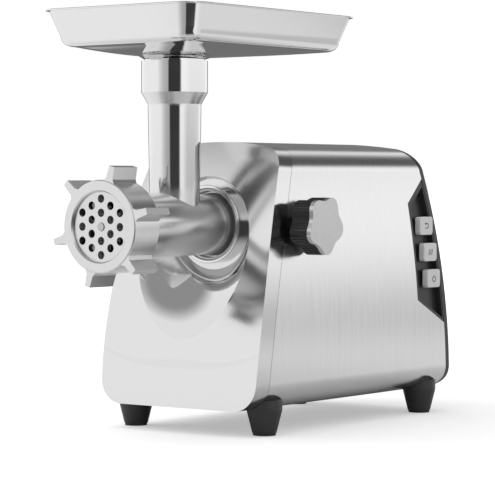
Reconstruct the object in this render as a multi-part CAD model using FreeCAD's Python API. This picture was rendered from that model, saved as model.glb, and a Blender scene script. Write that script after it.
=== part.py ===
"""Electric meat grinder, built as separate pieces.

Millimetres. +Z is up, the outlet faces -Y, and the clamp knob and the buttons are on +X.
The origin is the centre of the four feet, on the surface that the machine stands on.
"""
import FreeCAD, Part
import math
import os

V = FreeCAD.Vector

# ---- fits ------------------------------------------------------------------------------------
RUNNING = 0.06          # radial gap of a shaft in its bearing
LOOSE = 0.3             # gap between pieces that slide past each other
SEAM = 0.4              # open joint between two covers

# ---- housing ---------------------------------------------------------------------------------
FOOT_HEIGHT = 22.0
BODY_HEIGHT = 230.5
BODY_LENGTH = 314.0     # at the underside
BODY_HALF_LOW = 84.75   # half width just above the bottom corners
BODY_HALF_MID = 83.6
BODY_HALF_HIGH = 72.5   # half width just under the top corners
MID_WIDTH_AT = 113.0    # height of the middle width above the underside
HIGH_WIDTH_DROP = 26.0  # how far below the top the upper width is taken
BOTTOM_CORNER = 22.75
TOP_ARCH = 4.2          # the top falls this much from the middle to the corners
TOP_CORNER_WIDTH = 19.5
FRONT_RAKE = 63.8       # the front's top edge lies this far behind its bottom edge
FRONT_BULGE = 12.5      # how far the front bulges ahead of its own chord
REAR_RAKE = 29.0
REAR_BULGE = 3.0
REAR_TOP_RUN = 54.0     # length of the rounding from the flat top down to the rear
REAR_TOP_DROP = 24.0
REAR_BOTTOM_CORNER = 12.0
BEZEL_DEPTH = 19.5
BEZEL_WALL = 2.5
SHELL_WALL = 1.0
REAR_BAND = 6.5         # black rear cover left showing behind the steel shell
REAR_WALL = 2.5
PAN_WALL = 2.5
PAN_RIM = 14.0
UNDER_HALF = 62.0       # half width of the opening under the shell

# ---- grinding head ---------------------------------------------------------------------------
AXIS_Z = 180.0          # height of the auger's axis
TUBE_BACK = 1.0         # the feed tube's axis lies this far ahead of the front's bottom edge
BARREL_RADIUS = 28.5
BARREL_RADIUS_REAR = 26.5
BARREL_BORE = 24.0
NECK_RADIUS = 21.3
NECK_RADIUS_TOP = 23.1
NECK_BORE = 18.6
COLLAR_RADIUS = 28.7
COLLAR_BOTTOM = 294.0
COLLAR_TOP = 321.3
COLLAR_WALL = 2.2
COLLAR_FLARE = 10.0
SPIGOT_RADIUS = 28.8
SPIGOT_FRONT = 4.0      # spigot face behind the socket's mouth
SPIGOT_LENGTH = 42.0
SOCKET_BEHIND = 49.5    # socket mouth behind the feed tube's axis
SOCKET_WALL = 2.4
TRIM_WIDTH = 3.0
DISH_RADIUS_FRONT = 104.0
DISH_RADIUS_MID = 65.5
DISH_RADIUS_REAR = 40.0
DISH_FRONT = 43.0       # from the socket mouth forward to the dish's widest circle
DISH_MID = 25.5
DISH_REAR = -5.0

PLATE_RADIUS = 31.0
PLATE_THICK = 5.0
PLATE_HOLE = 3.5
PLATE_PITCH = 11.7
NUT_RADIUS = 39.0
NUT_DEPTH = 31.4
NUT_LIP = 2.5
NUT_OPENING = 29.4
NUT_FRONT = 101.2       # nut face ahead of the feed tube's axis
NUT_EARS = 6
EAR_REACH = 12.8
EAR_THICK = 5.5
THREAD_RADIUS = 34.3
THREAD_PITCH = 4.0
THREAD_DEPTH = 1.4
MOUTH_LENGTH = 26.0
KNIFE_RADIUS = 26.5
KNIFE_THICK = 6.0
KNIFE_ARMS = 4
STUD_RADIUS = 3.4
SQUARE = 11.0
AUGER_FLIGHT = 23.2
AUGER_CORE = 9.0
AUGER_PITCH = 26.0
AUGER_TURNS = 4.0
FLIGHT_THICK = 3.6
AUGER_SHAFT = 9.0
DRIVE_END_RADIUS = 13.0
DRIVE_END_LENGTH = 26.0
HEX_RADIUS = 7.5
BUSH_WALL = 2.0

# ---- tray ------------------------------------------------------------------------------------
TRAY_HALF = 85.0
TRAY_AHEAD = 82.7       # rim ahead of the feed tube's axis
TRAY_BEHIND = 162.0
TRAY_RIM_Z = 364.5
TRAY_CORNER = 17.0
TRAY_LIP = 3.0
TRAY_LIP_DROP = 3.0
TRAY_WALL = 1.0
TRAY_DRAFT = 7.5
TRAY_FOLD_Z = 334.0
TRAY_FLOOR_Z = 325.5
TRAY_NECK_WALL = 1.6

# ---- clamp knob ------------------------------------------------------------------------------
CLAMP_BACK = 75.0       # clamp screw's axis behind the feed tube's axis
CLAMP_TRAVEL = 4.5
SCREW_RADIUS = 4.0
SCREW_TIP = 3.0
PAD_RADIUS = 6.5
PAD_LENGTH = 6.0
KNOB_GAP = 6.0
KNOB_RADIUS = 25.5
KNOB_LOBE = 2.6
KNOB_LOBES = 5
KNOB_TURN = math.radians(60.0)
KNOB_BODY = 18.0
KNOB_CAP = 4.0
KNOB_STEM = 9.0

# ---- control panel ---------------------------------------------------------------------------
PANEL_BACK = 10.0       # depth of the panel's rear face below the shell
PANEL_RECESS = 6.0
PANEL_END_WALL = 1.6
PANEL_TOP = 226.0
PANEL_TOP_IN = 197.0
PANEL_LOW_IN = 107.0
PANEL_LOW = 84.0
PANEL_FRONT_HIGH = 94.0
PANEL_FRONT_LOW = 99.5
BUTTON_WIDTH = 22.0
BUTTON_HEIGHT = 17.0
BUTTON_PITCH = 24.7
BUTTON_Z = 151.3        # height of the middle button
BUTTON_Y = 122.0
BUTTON_LEAN = 3.2       # each lower button lies this much further back
BUTTON_PROUD = 2.6
BUTTON_TRAVEL = 2.2
BUTTON_NAMES = ("button_reverse", "button_speed", "button_power")

# ---- feet ------------------------------------------------------------------------------------
FOOT_TOP = 15.5
FOOT_BOTTOM = 10.5
FOOT_X = 71.0
FOOT_Y = 124.0
FOOT_WRAP = 8.5        # how far a foot rises around the housing's lower corner
FOOT_SCREW_Z = 14.0     # underside of a foot screw's head
FOOT_POCKET = 6.0
PAD_HEIGHT = 3.0

# ---- drive -----------------------------------------------------------------------------------
PRESSURE_ANGLE = math.radians(25.0)
ADDENDUM = 0.8
DEDENDUM = 1.05
BACKLASH = 0.16         # share of the module taken off each tooth
STAGES = ((10, 60, 0.9), (10, 42, 1.25), (10, 35, 1.75))   # pinion teeth, wheel teeth, module
OUTPUT_TO_SECOND = math.radians(240.0)
SECOND_TO_FIRST = math.radians(300.0)
GEARBOX_FRONT = -58.0
LAYERS = ((-20.0, 7.0), (-34.0, 11.0), (-51.0, 14.0))      # rear-first: start and width
GEARBOX_REAR = -6.0
GEARBOX_WALL = 3.0
GEARBOX_MARGIN = 6.0
PIN_RADIUS = 3.0
OUTPUT_RADIUS = 7.0
BEARING_OUTER = 13.0
BEARING_WIDTH = 8.0
SHAFT_RADIUS = 4.0
MOTOR_BEARING_OUTER = 11.0
MOTOR_BEARING_WIDTH = 7.0
STATOR_HALF = 40.0
STATOR_BORE = 24.5
STATOR_START = 26.0
STATOR_LENGTH = 48.0
AIR_GAP = 0.6
COIL_OVERHANG = 7.0
FAN_START = 2.0
FAN_WIDTH = 12.0
FAN_RADIUS = 33.0
FAN_BLADES = 13
COMMUTATOR_START = 84.0
COMMUTATOR_LENGTH = 14.0
COMMUTATOR_RADIUS = 12.0
COMMUTATOR_BARS = 22
REAR_BRACKET = 104.0
BRACKET_THICK = 4.0
BRUSH = 6.0
TIE_X = 36.5            # tie bolts, to each side of the motor's axis
PINION_BORE = 2.0

# ---- boards, switches and cord entry ---------------------------------------------------------
BOARD_X = 58.0          # inner face of the switch board
BOARD_THICK = 1.6
SWITCH_HEIGHT = 5.0
STEM_HALF = 4.0         # half width of a button's square stem
POWER_X = -56.0         # middle of the power board
GLAND_RADIUS = 8.0
GLAND_X = -45.0
GLAND_Z = 58.0
GLAND_BORE = 3.6

# ---- worked out ------------------------------------------------------------------------------
FLOOR_Z = FOOT_HEIGHT
TOP_Z = FOOT_HEIGHT + BODY_HEIGHT
FRONT_Y = -BODY_LENGTH / 2
REAR_Y = BODY_LENGTH / 2
TUBE_Y = FRONT_Y - TUBE_BACK
SOCKET_Y = TUBE_Y + SOCKET_BEHIND
SPIGOT_Y = SOCKET_Y + SPIGOT_FRONT
SPIGOT_END = SPIGOT_Y + SPIGOT_LENGTH
NUT_Y = TUBE_Y - NUT_FRONT
PLATE_Y = NUT_Y + NUT_LIP + LOOSE
KNIFE_Y = PLATE_Y + PLATE_THICK + LOOSE
AUGER_Y = KNIFE_Y + KNIFE_THICK
CLAMP_Y = TUBE_Y + CLAMP_BACK
SOCKET_BORE = SPIGOT_RADIUS + LOOSE
SOCKET_OUTER = SOCKET_BORE + SOCKET_WALL
TAIL_Y = SPIGOT_END - DRIVE_END_LENGTH - 1
KEY_RADIUS = 1.5        # key that stops the plate from turning
KEY_Y0 = PLATE_Y + 1.0
KEY_Y1 = PLATE_Y + PLATE_THICK + 6
KEY_Z = AXIS_Z + PLATE_RADIUS - 0.2
PAD_X = SPIGOT_RADIUS - 2.2 + LOOSE
NUT_X = PAD_X + PAD_LENGTH + CLAMP_TRAVEL + 0.6
WIDE = 400.0            # longer than any piece, for cutting tools


# ---- small helpers ---------------------------------------------------------------------------
def export(shape, name):
    """Write one piece, or a group of like pieces, to its own file."""
    shape = shape.removeSplitter() if len(shape.Solids) == 1 else shape
    if len(shape.Solids) == 1:
        shape = shape.Solids[0]
    if not shape.isValid():
        print("NOT VALID", name)
    print(f"{name:24s} solids {len(shape.Solids):3d}  volume {shape.Volume:12.1f}")
    shape.exportStep(os.path.join("parts", name + ".step"))


def box(x0, x1, y0, y1, z0, z1):
    return Part.makeBox(x1 - x0, y1 - y0, z1 - z0, V(x0, y0, z0))


def rod(radius, y0, y1, x=0.0, z=AXIS_Z):
    """A round bar along Y."""
    return Part.makeCylinder(radius, y1 - y0, V(x, y0, z), V(0, 1, 0))


def tube(outer, inner, y0, y1, x=0.0, z=AXIS_Z):
    return rod(outer, y0, y1, x, z).cut(rod(inner, y0 - 1, y1 + 1, x, z))


def cone(r0, r1, y0, y1, x=0.0, z=AXIS_Z):
    return Part.makeCone(r0, r1, y1 - y0, V(x, y0, z), V(0, 1, 0))


def post(radius, z0, z1, x, y):
    return Part.makeCylinder(radius, z1 - z0, V(x, y, z0))


def side_rod(radius, x0, x1, y, z):
    """A round bar along X."""
    return Part.makeCylinder(radius, x1 - x0, V(x0, y, z), V(1, 0, 0))


def polygon(points):
    return Part.Face(Part.makePolygon(list(points) + [points[0]]))


def fuse(shapes):
    shapes = list(shapes)
    return shapes[0].multiFuse(shapes[1:]) if len(shapes) > 1 else shapes[0]


def arc(a, b, c):
    return Part.Arc(a, b, c).toShape()


def line(a, b):
    return Part.LineSegment(a, b).toShape()


def rounded_rectangle(x0, x1, y0, y1, radius, z):
    """A closed wire with four round corners, level at height z."""
    h = radius * (1 - math.sqrt(0.5))
    edges = [
        line(V(x0 + radius, y0, z), V(x1 - radius, y0, z)),
        arc(V(x1 - radius, y0, z), V(x1 - h, y0 + h, z), V(x1, y0 + radius, z)),
        line(V(x1, y0 + radius, z), V(x1, y1 - radius, z)),
        arc(V(x1, y1 - radius, z), V(x1 - h, y1 - h, z), V(x1 - radius, y1, z)),
        line(V(x1 - radius, y1, z), V(x0 + radius, y1, z)),
        arc(V(x0 + radius, y1, z), V(x0 + h, y1 - h, z), V(x0, y1 - radius, z)),
        line(V(x0, y1 - radius, z), V(x0, y0 + radius, z)),
        arc(V(x0, y0 + radius, z), V(x0 + h, y0 + h, z), V(x0 + radius, y0, z)),
    ]
    return Part.Wire(edges)


# ---- housing shapes --------------------------------------------------------------------------
def body_outline(inset):
    """The housing's cross-section across Y, drawn at the front end."""
    low = FLOOR_Z + BOTTOM_CORNER
    high = TOP_Z - HIGH_WIDTH_DROP
    flat = BODY_HALF_LOW - BOTTOM_CORNER
    shoulder = BODY_HALF_HIGH - TOP_CORNER_WIDTH
    shoulder_z = TOP_Z - TOP_ARCH
    bend = BOTTOM_CORNER * (1 - math.sqrt(0.5))
    y = FRONT_Y - 50

    def half(sign):
        corner = V(sign * (BODY_HALF_LOW - bend), y, FLOOR_Z + bend)
        side = V(sign * BODY_HALF_MID, y, FLOOR_Z + MID_WIDTH_AT)
        crown = V(sign * (BODY_HALF_HIGH - 6.2), y, shoulder_z - 7.4)
        return [
            arc(V(sign * flat, y, FLOOR_Z), corner, V(sign * BODY_HALF_LOW, y, low)),
            arc(V(sign * BODY_HALF_LOW, y, low), side, V(sign * BODY_HALF_HIGH, y, high)),
            arc(V(sign * BODY_HALF_HIGH, y, high), crown, V(sign * shoulder, y, shoulder_z)),
        ]

    right = half(1)
    left = half(-1)
    top = arc(V(shoulder, y, shoulder_z), V(0, y, TOP_Z), V(-shoulder, y, shoulder_z))
    bottom = line(V(-flat, y, FLOOR_Z), V(flat, y, FLOOR_Z))
    wire = Part.Wire(Part.sortEdges(right + [top] + left + [bottom])[0])
    if inset:
        wire = wire.makeOffset2D(-inset)
    return wire


def body_prism(inset):
    return Part.Face(body_outline(inset)).extrude(V(0, BODY_LENGTH + 100, 0))


def behind_front(shift):
    """Everything behind the raked, bulging front, moved back by shift."""
    low = V(-WIDE, FRONT_Y + shift, FLOOR_Z)
    high = V(-WIDE, FRONT_Y + FRONT_RAKE + shift, TOP_Z)
    middle = V(-WIDE, FRONT_Y + FRONT_RAKE / 2 - FRONT_BULGE + shift, (FLOOR_Z + TOP_Z) / 2)
    far = REAR_Y + WIDE
    edges = [
        arc(low, middle, high),
        line(high, V(-WIDE, far, TOP_Z)),
        line(V(-WIDE, far, TOP_Z), V(-WIDE, far, FLOOR_Z)),
        line(V(-WIDE, far, FLOOR_Z), low),
    ]
    return Part.Face(Part.Wire(edges)).extrude(V(2 * WIDE, 0, 0))


def ahead_of_rear(shift):
    """Everything ahead of the rear, with its rounded top, moved forward by shift."""
    foot = V(-WIDE, REAR_Y - shift - REAR_BOTTOM_CORNER, FLOOR_Z)
    heel = V(-WIDE, REAR_Y - shift, FLOOR_Z + REAR_BOTTOM_CORNER)
    h = REAR_BOTTOM_CORNER * (1 - math.sqrt(0.5))
    heel_mid = V(-WIDE, REAR_Y - shift - h, FLOOR_Z + h)
    neck_z = TOP_Z - REAR_TOP_DROP
    neck = V(-WIDE, REAR_Y - REAR_RAKE - shift, neck_z)
    back_mid = V(-WIDE, REAR_Y - REAR_RAKE / 2 + REAR_BULGE - shift, (heel.z + neck_z) / 2)
    crown = V(-WIDE, neck.y - REAR_TOP_RUN, TOP_Z)
    crown_mid = V(-WIDE, neck.y - REAR_TOP_RUN * 0.30, TOP_Z - REAR_TOP_DROP * 0.20)
    near = V(-WIDE, FRONT_Y - WIDE, TOP_Z)
    edges = [
        arc(foot, heel_mid, heel),
        arc(heel, back_mid, neck),
        arc(neck, crown_mid, crown),
        line(crown, near),
        line(near, V(-WIDE, near.y, FLOOR_Z)),
        line(V(-WIDE, near.y, FLOOR_Z), foot),
    ]
    return Part.Face(Part.Wire(edges)).extrude(V(2 * WIDE, 0, 0))


def shell_half_width(z):
    """Half width of the housing at a height on its side, for pieces that meet the side."""
    probe = line(V(0, FRONT_Y - 50, z), V(WIDE, FRONT_Y - 50, z))
    return body_outline(0).distToShape(probe)[1][0][0].x


def dish(growth):
    """The flared hollow around the socket: a solid of revolution about the auger's axis."""
    def spot(ahead, radius):
        return V(0, SOCKET_Y - ahead, AXIS_Z + radius)
    inner = spot(DISH_REAR - growth, DISH_RADIUS_REAR + growth)
    middle = spot(DISH_MID, DISH_RADIUS_MID + growth)
    outer = spot(DISH_FRONT, DISH_RADIUS_FRONT + growth)
    tip = V(0, SOCKET_Y - DISH_FRONT - 60, outer.z)
    edges = [
        line(V(0, inner.y, AXIS_Z), inner),
        arc(inner, middle, outer),
        line(outer, tip),
        line(tip, V(0, tip.y, AXIS_Z)),
        line(V(0, tip.y, AXIS_Z), V(0, inner.y, AXIS_Z)),
    ]
    return Part.Face(Part.Wire(edges)).revolve(V(0, 0, AXIS_Z), V(0, 1, 0), 360)


def front_bezel():
    ring = body_prism(0).common(behind_front(0)).cut(behind_front(BEZEL_DEPTH))
    room = body_prism(BEZEL_WALL).common(behind_front(BEZEL_WALL))
    bowl = dish(BEZEL_WALL).common(body_prism(BEZEL_WALL)).common(behind_front(0.5))
    bezel = fuse([ring.cut(room), bowl]).cut(dish(0))
    return bezel.cut(rod(SOCKET_OUTER + SEAM, SOCKET_Y - 60, SOCKET_Y + 40))


def panel_corners(shrink, back):
    """The control panel's outline on the side of the housing, as (y, z) pairs."""
    lower_slope = (PANEL_LOW_IN - PANEL_LOW) / 46.0
    upper_slope = (PANEL_TOP - PANEL_TOP_IN) / 37.0
    end = REAR_Y - back
    reach_low = end - PANEL_FRONT_LOW
    reach_high = end - PANEL_FRONT_HIGH
    return [
        (PANEL_FRONT_HIGH + shrink, PANEL_TOP_IN - 0.6 * shrink),
        (PANEL_FRONT_LOW + shrink, PANEL_LOW_IN + 0.6 * shrink),
        (end, PANEL_LOW_IN - reach_low * lower_slope + 1.1 * shrink),
        (end, PANEL_TOP_IN + reach_high * upper_slope - 1.2 * shrink),
    ]


def panel_block(shrink, back, x0=30.0, x1=120.0):
    outline = [V(x0, y, z) for y, z in panel_corners(shrink, back)]
    return polygon(outline).extrude(V(x1 - x0, 0, 0))


def side_shell():
    start = BEZEL_DEPTH + SEAM
    blank = body_prism(0).common(behind_front(start)).common(ahead_of_rear(REAR_BAND))
    shell = blank.cut(body_prism(SHELL_WALL))
    shell = shell.cut(box(-UNDER_HALF, UNDER_HALF, -WIDE, WIDE, 0, FLOOR_Z + 8))
    shell = shell.cut(panel_block(0, -40))
    return shell.cut(side_rod(KNOB_STEM + SEAM, 40, 120, CLAMP_Y, AXIS_Z))


def rear_cover():
    start = REAR_BAND - SEAM
    top = TOP_Z - 1.2
    band = body_prism(0.3).common(ahead_of_rear(0)).cut(ahead_of_rear(start))
    band = band.cut(box(-WIDE, WIDE, -WIDE, WIDE, top, WIDE))
    hollow = body_prism(REAR_WALL).common(ahead_of_rear(REAR_WALL))
    cover = band.cut(hollow.cut(box(-WIDE, WIDE, -WIDE, 90, -10, WIDE)))
    lip = body_prism(SHELL_WALL + 0.3).cut(body_prism(SHELL_WALL + 2.1))
    lip = lip.common(ahead_of_rear(start - 0.5)).cut(ahead_of_rear(REAR_BAND + 9))
    lip = lip.cut(box(-WIDE, WIDE, -WIDE, WIDE, TOP_Z - 60, WIDE)).cut(panel_block(-2, -40))
    lip = lip.cut(box(-WIDE, WIDE, -WIDE, WIDE, 0, FLOOR_Z + PAN_RIM + 2))
    cover = fuse([cover, lip])
    slots = []
    for row in range(9):
        z = 96 + row * 9
        for sign in (-1, 1):
            slots.append(box(sign * 29 - 21, sign * 29 + 21, 100, 180, z, z + 3.6))
    cover = cover.cut(fuse(slots))
    return cover.cut(rod(GLAND_RADIUS + 0.2, 100, 200, GLAND_X, GLAND_Z))


def base_pan():
    start = BEZEL_DEPTH + SEAM
    under = SHELL_WALL + 0.3
    blank = body_prism(under).common(behind_front(start)).common(ahead_of_rear(REAR_BAND + 0.4))
    blank = blank.common(box(-WIDE, WIDE, -WIDE, WIDE, 0, FLOOR_Z + PAN_RIM))
    pan = blank.cut(body_prism(under + PAN_WALL))
    slots = []
    for row in range(8):
        slots.append(box(-24, 24, 20 + row * 9, 24 + row * 9, 0, 40))
    return pan.cut(fuse(slots))


def foot(sx, sy):
    """A tapered foot that reaches up around the housing's rounded lower corner."""
    x = sx * FOOT_X
    y = sy * FOOT_Y
    low = PAD_HEIGHT - 1
    cone = Part.makeCone(FOOT_BOTTOM, FOOT_TOP, FLOOR_Z - low, V(x, y, low))
    collar = post(FOOT_TOP, FLOOR_Z, FLOOR_Z + FOOT_WRAP, x, y)
    solid = fuse([cone, collar]).cut(body_prism(-0.1))
    # only the part outside and below the housing belongs to the foot
    inner_edge = x - sx * FOOT_TOP
    inside = box(min(inner_edge, -inner_edge), max(inner_edge, -inner_edge), -WIDE, WIDE,
                 FLOOR_Z, TOP_Z)
    solid = solid.cut(inside)
    return solid.cut(post(FOOT_POCKET, 0, FOOT_SCREW_Z, x, y))


def foot_pads():
    """Rubber discs pushed up into the feet."""
    pads = []
    for sx in (-1, 1):
        for sy in (-1, 1):
            x = sx * FOOT_X
            y = sy * FOOT_Y
            disc = post(FOOT_BOTTOM - 0.6, 0, PAD_HEIGHT - 1, x, y)
            plug = post(FOOT_POCKET, 0, PAD_HEIGHT + 3, x, y)
            pads.append(fuse([disc, plug]))
    return Part.makeCompound(pads)


def base_screws():
    """Screws that hold the feet, the shell's lower edge and the base pan together."""
    screws = []
    for sx in (-1, 1):
        for sy in (-1, 1):
            x = sx * FOOT_X
            y = sy * FOOT_Y
            head = post(4.0, FOOT_SCREW_Z - 2.4, FOOT_SCREW_Z, x, y)
            screws.append(fuse([head, post(2.0, FOOT_SCREW_Z, FLOOR_Z + PAN_RIM - 2, x, y)]))
    return screws


# ---- socket ----------------------------------------------------------------------------------
def socket_trim():
    """Polished ring around the socket's mouth."""
    inner = SOCKET_OUTER + 0.05
    ring = tube(inner + TRIM_WIDTH, inner, SOCKET_Y - 3.5, SOCKET_Y - DISH_REAR)
    front = [e for e in ring.Edges if abs(e.CenterOfMass.y - (SOCKET_Y - 3.5)) < 0.01]
    return ring.makeFillet(1.2, front)


def head_socket():
    sleeve = tube(SOCKET_OUTER, SOCKET_BORE, SOCKET_Y - 2.0, GEARBOX_FRONT)
    rim = [e for e in sleeve.Edges if abs(e.CenterOfMass.y - (SOCKET_Y - 2.0)) < 0.01]
    sleeve = sleeve.makeFillet(0.9, rim)
    collar = tube(SOCKET_OUTER + 7, SOCKET_OUTER - 1, GEARBOX_FRONT - 5, GEARBOX_FRONT)
    boss = box(SOCKET_OUTER - 1.5, NUT_X, CLAMP_Y - 11, CLAMP_Y + 11,
               AXIS_Z - 11, AXIS_Z + 11)
    boss = boss.cut(rod(SOCKET_BORE, CLAMP_Y - 20, CLAMP_Y + 20))
    socket = fuse([sleeve, collar, boss])
    socket = socket.cut(side_rod(PAD_RADIUS + LOOSE, 20, NUT_X + 1, CLAMP_Y, AXIS_Z))
    for angle in (45, 135, 225, 315):
        x = math.cos(math.radians(angle)) * (SOCKET_OUTER + 3.5)
        z = AXIS_Z + math.sin(math.radians(angle)) * (SOCKET_OUTER + 3.5)
        socket = socket.cut(rod(2.1, GEARBOX_FRONT - 10, GEARBOX_FRONT + 1, x, z))
    return socket


def socket_screws():
    screws = []
    for angle in (45, 135, 225, 315):
        x = math.cos(math.radians(angle)) * (SOCKET_OUTER + 3.5)
        z = AXIS_Z + math.sin(math.radians(angle)) * (SOCKET_OUTER + 3.5)
        head = rod(3.2, GEARBOX_FRONT - 7.4, GEARBOX_FRONT - 5, x, z)
        screws.append(fuse([head, rod(2.0, GEARBOX_FRONT - 5, GEARBOX_FRONT + 2.5, x, z)]))
    return screws


# ---- grinding head ---------------------------------------------------------------------------
def thread_grooves(radius, depth, start, length):
    grooves = []
    for turn in range(int(length / THREAD_PITCH)):
        y = start + (turn + 0.5) * THREAD_PITCH
        profile = polygon([
            V(0, y - 1.4, AXIS_Z + radius + 0.1), V(0, y + 1.4, AXIS_Z + radius + 0.1),
            V(0, y + 0.5, AXIS_Z + radius - depth), V(0, y - 0.5, AXIS_Z + radius - depth),
        ])
        grooves.append(profile.revolve(V(0, 0, AXIS_Z), V(0, 1, 0), 360))
    return fuse(grooves)


def head_casting():
    """Barrel, feed tube, collar cup and rear spigot."""
    mouth_y = PLATE_Y + 0.8
    mouth_end = mouth_y + MOUTH_LENGTH
    mouth = rod(THREAD_RADIUS, mouth_y, mouth_end - 3)
    mouth = mouth.cut(thread_grooves(THREAD_RADIUS, THREAD_DEPTH, mouth_y + 1, MOUTH_LENGTH - 6))
    taper = cone(THREAD_RADIUS, BARREL_RADIUS, mouth_end - 3, mouth_end)
    barrel = cone(BARREL_RADIUS, BARREL_RADIUS_REAR, mouth_end, SPIGOT_Y - 7)
    foot_arc = [
        line(V(0, SPIGOT_Y - 7, AXIS_Z), V(0, SPIGOT_Y - 7, AXIS_Z + BARREL_RADIUS_REAR)),
        arc(V(0, SPIGOT_Y - 7, AXIS_Z + BARREL_RADIUS_REAR),
            V(0, SPIGOT_Y - 2, AXIS_Z + BARREL_RADIUS_REAR + 0.9),
            V(0, SPIGOT_Y, AXIS_Z + SPIGOT_RADIUS - 0.8)),
        line(V(0, SPIGOT_Y, AXIS_Z + SPIGOT_RADIUS - 0.8), V(0, SPIGOT_Y, AXIS_Z)),
        line(V(0, SPIGOT_Y, AXIS_Z), V(0, SPIGOT_Y - 7, AXIS_Z)),
    ]
    root = Part.Face(Part.Wire(foot_arc)).revolve(V(0, 0, AXIS_Z), V(0, 1, 0), 360)
    spigot = rod(SPIGOT_RADIUS, SPIGOT_Y, SPIGOT_END)
    neck = Part.makeCone(NECK_RADIUS, NECK_RADIUS_TOP, COLLAR_BOTTOM - COLLAR_FLARE - AXIS_Z,
                         V(0, TUBE_Y, AXIS_Z))
    flare = Part.makeCone(NECK_RADIUS_TOP, COLLAR_RADIUS, COLLAR_FLARE,
                          V(0, TUBE_Y, COLLAR_BOTTOM - COLLAR_FLARE))
    cup = post(COLLAR_RADIUS, COLLAR_BOTTOM, COLLAR_TOP, 0, TUBE_Y)
    solid = fuse([mouth, taper, barrel, root, spigot, neck, flare, cup])

    seat = rod(PLATE_RADIUS + 0.4, PLATE_Y - 5, PLATE_Y + PLATE_THICK + LOOSE)
    chamber = rod(KNIFE_RADIUS + 1.2, PLATE_Y, AUGER_Y + 1.5)
    bore = rod(BARREL_BORE, PLATE_Y, SPIGOT_Y + 2)
    bush_room = rod(AUGER_SHAFT + BUSH_WALL + RUNNING, SPIGOT_Y, SPIGOT_END + 5)
    tail_room = rod(DRIVE_END_RADIUS + 1.2, TAIL_Y - 0.6, SPIGOT_END + 5)
    shaft = post(NECK_BORE, AXIS_Z, COLLAR_TOP + 5, 0, TUBE_Y)
    cup_room = post(COLLAR_RADIUS - COLLAR_WALL, COLLAR_BOTTOM + 3, COLLAR_TOP + 5, 0, TUBE_Y)
    groove = box(SPIGOT_RADIUS - 2.2, SPIGOT_RADIUS + 5, CLAMP_Y - PAD_RADIUS - 1, SPIGOT_END + 5,
                 AXIS_Z - PAD_RADIUS - 1, AXIS_Z + PAD_RADIUS + 1)
    key_hole = rod(KEY_RADIUS, KEY_Y0, KEY_Y1, 0, KEY_Z)
    return solid.cut(fuse([seat, chamber, bore, bush_room, tail_room, shaft, cup_room])) \
        .cut(groove).cut(key_hole)


def barrel_bush():
    inner = AUGER_SHAFT + RUNNING
    outer = AUGER_SHAFT + BUSH_WALL
    return tube(outer, inner, SPIGOT_Y + 2.6, TAIL_Y - 1.2)


def auger_flight():
    """One screw thread about the auger's axis, as a solid of constant thickness."""
    length = AUGER_PITCH * AUGER_TURNS
    helix = Part.makeHelix(AUGER_PITCH, length, AUGER_CORE)
    inner = AUGER_CORE - 1.5
    half = FLIGHT_THICK / 2
    profile = Part.makePolygon([
        V(inner, 0, -half), V(AUGER_FLIGHT, 0, -half * 0.6), V(AUGER_FLIGHT, 0, half * 0.6),
        V(inner, 0, half), V(inner, 0, -half),
    ])
    flight = Part.Wire(helix).makePipeShell([profile], True, True)
    flight.rotate(V(0, 0, 0), V(1, 0, 0), -90)
    flight.translate(V(0, AUGER_Y + 4, AXIS_Z))
    return flight


def auger():
    flight_end = AUGER_Y + 4 + AUGER_PITCH * AUGER_TURNS
    core = cone(AUGER_CORE, AUGER_CORE + 3, AUGER_Y, flight_end + 4)
    web = cone(AUGER_CORE + 3, AUGER_FLIGHT, flight_end + 4, SPIGOT_Y - 1)
    web = fuse([web, rod(AUGER_FLIGHT, SPIGOT_Y - 1, SPIGOT_Y + 1.6)])
    shaft = rod(AUGER_SHAFT, SPIGOT_Y + 1.6, TAIL_Y)
    half = SQUARE / 2
    square = box(-half, half, KNIFE_Y + 0.4, AUGER_Y, AXIS_Z - half, AXIS_Z + half)
    solid = fuse([core, auger_flight(), web, shaft, square])
    return solid.cut(rod(STUD_RADIUS - 0.6, KNIFE_Y - 1, AUGER_Y + 12))


def auger_stud():
    """Centre pin that runs in the plate's middle hole."""
    head = rod(STUD_RADIUS, PLATE_Y - 0.8, KNIFE_Y + 0.4)
    return fuse([head, rod(STUD_RADIUS - 0.6, KNIFE_Y, AUGER_Y + 12)])


def hexagon(radius, y0, y1):
    points = []
    for i in range(6):
        a = math.radians(60 * i)
        points.append(V(math.cos(a) * radius, y0, AXIS_Z + math.sin(a) * radius))
    return polygon(points).extrude(V(0, y1 - y0, 0))


def auger_drive_end():
    end = TAIL_Y + DRIVE_END_LENGTH
    hub = rod(DRIVE_END_RADIUS, TAIL_Y, end)
    return hub.cut(hexagon(HEX_RADIUS + 0.35, TAIL_Y + 4, end + 1))


def cross_knife():
    hub = rod(12.0, KNIFE_Y, KNIFE_Y + KNIFE_THICK)
    arms = []
    for i in range(KNIFE_ARMS):
        arm = polygon([
            V(5, KNIFE_Y, AXIS_Z - 6.5), V(KNIFE_RADIUS - 1.2, KNIFE_Y, AXIS_Z - 4.5),
            V(KNIFE_RADIUS - 0.4, KNIFE_Y, AXIS_Z + 3.0), V(5, KNIFE_Y, AXIS_Z + 4.5),
        ]).extrude(V(0, KNIFE_THICK - 1.5, 0))
        arm.rotate(V(0, 0, AXIS_Z), V(0, 1, 0), i * 360 / KNIFE_ARMS)
        arms.append(arm)
    half = SQUARE / 2 + 0.05
    hole = box(-half, half, KNIFE_Y - 1, AUGER_Y + 1, AXIS_Z - half, AXIS_Z + half)
    return fuse([hub] + arms).cut(hole)


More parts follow.
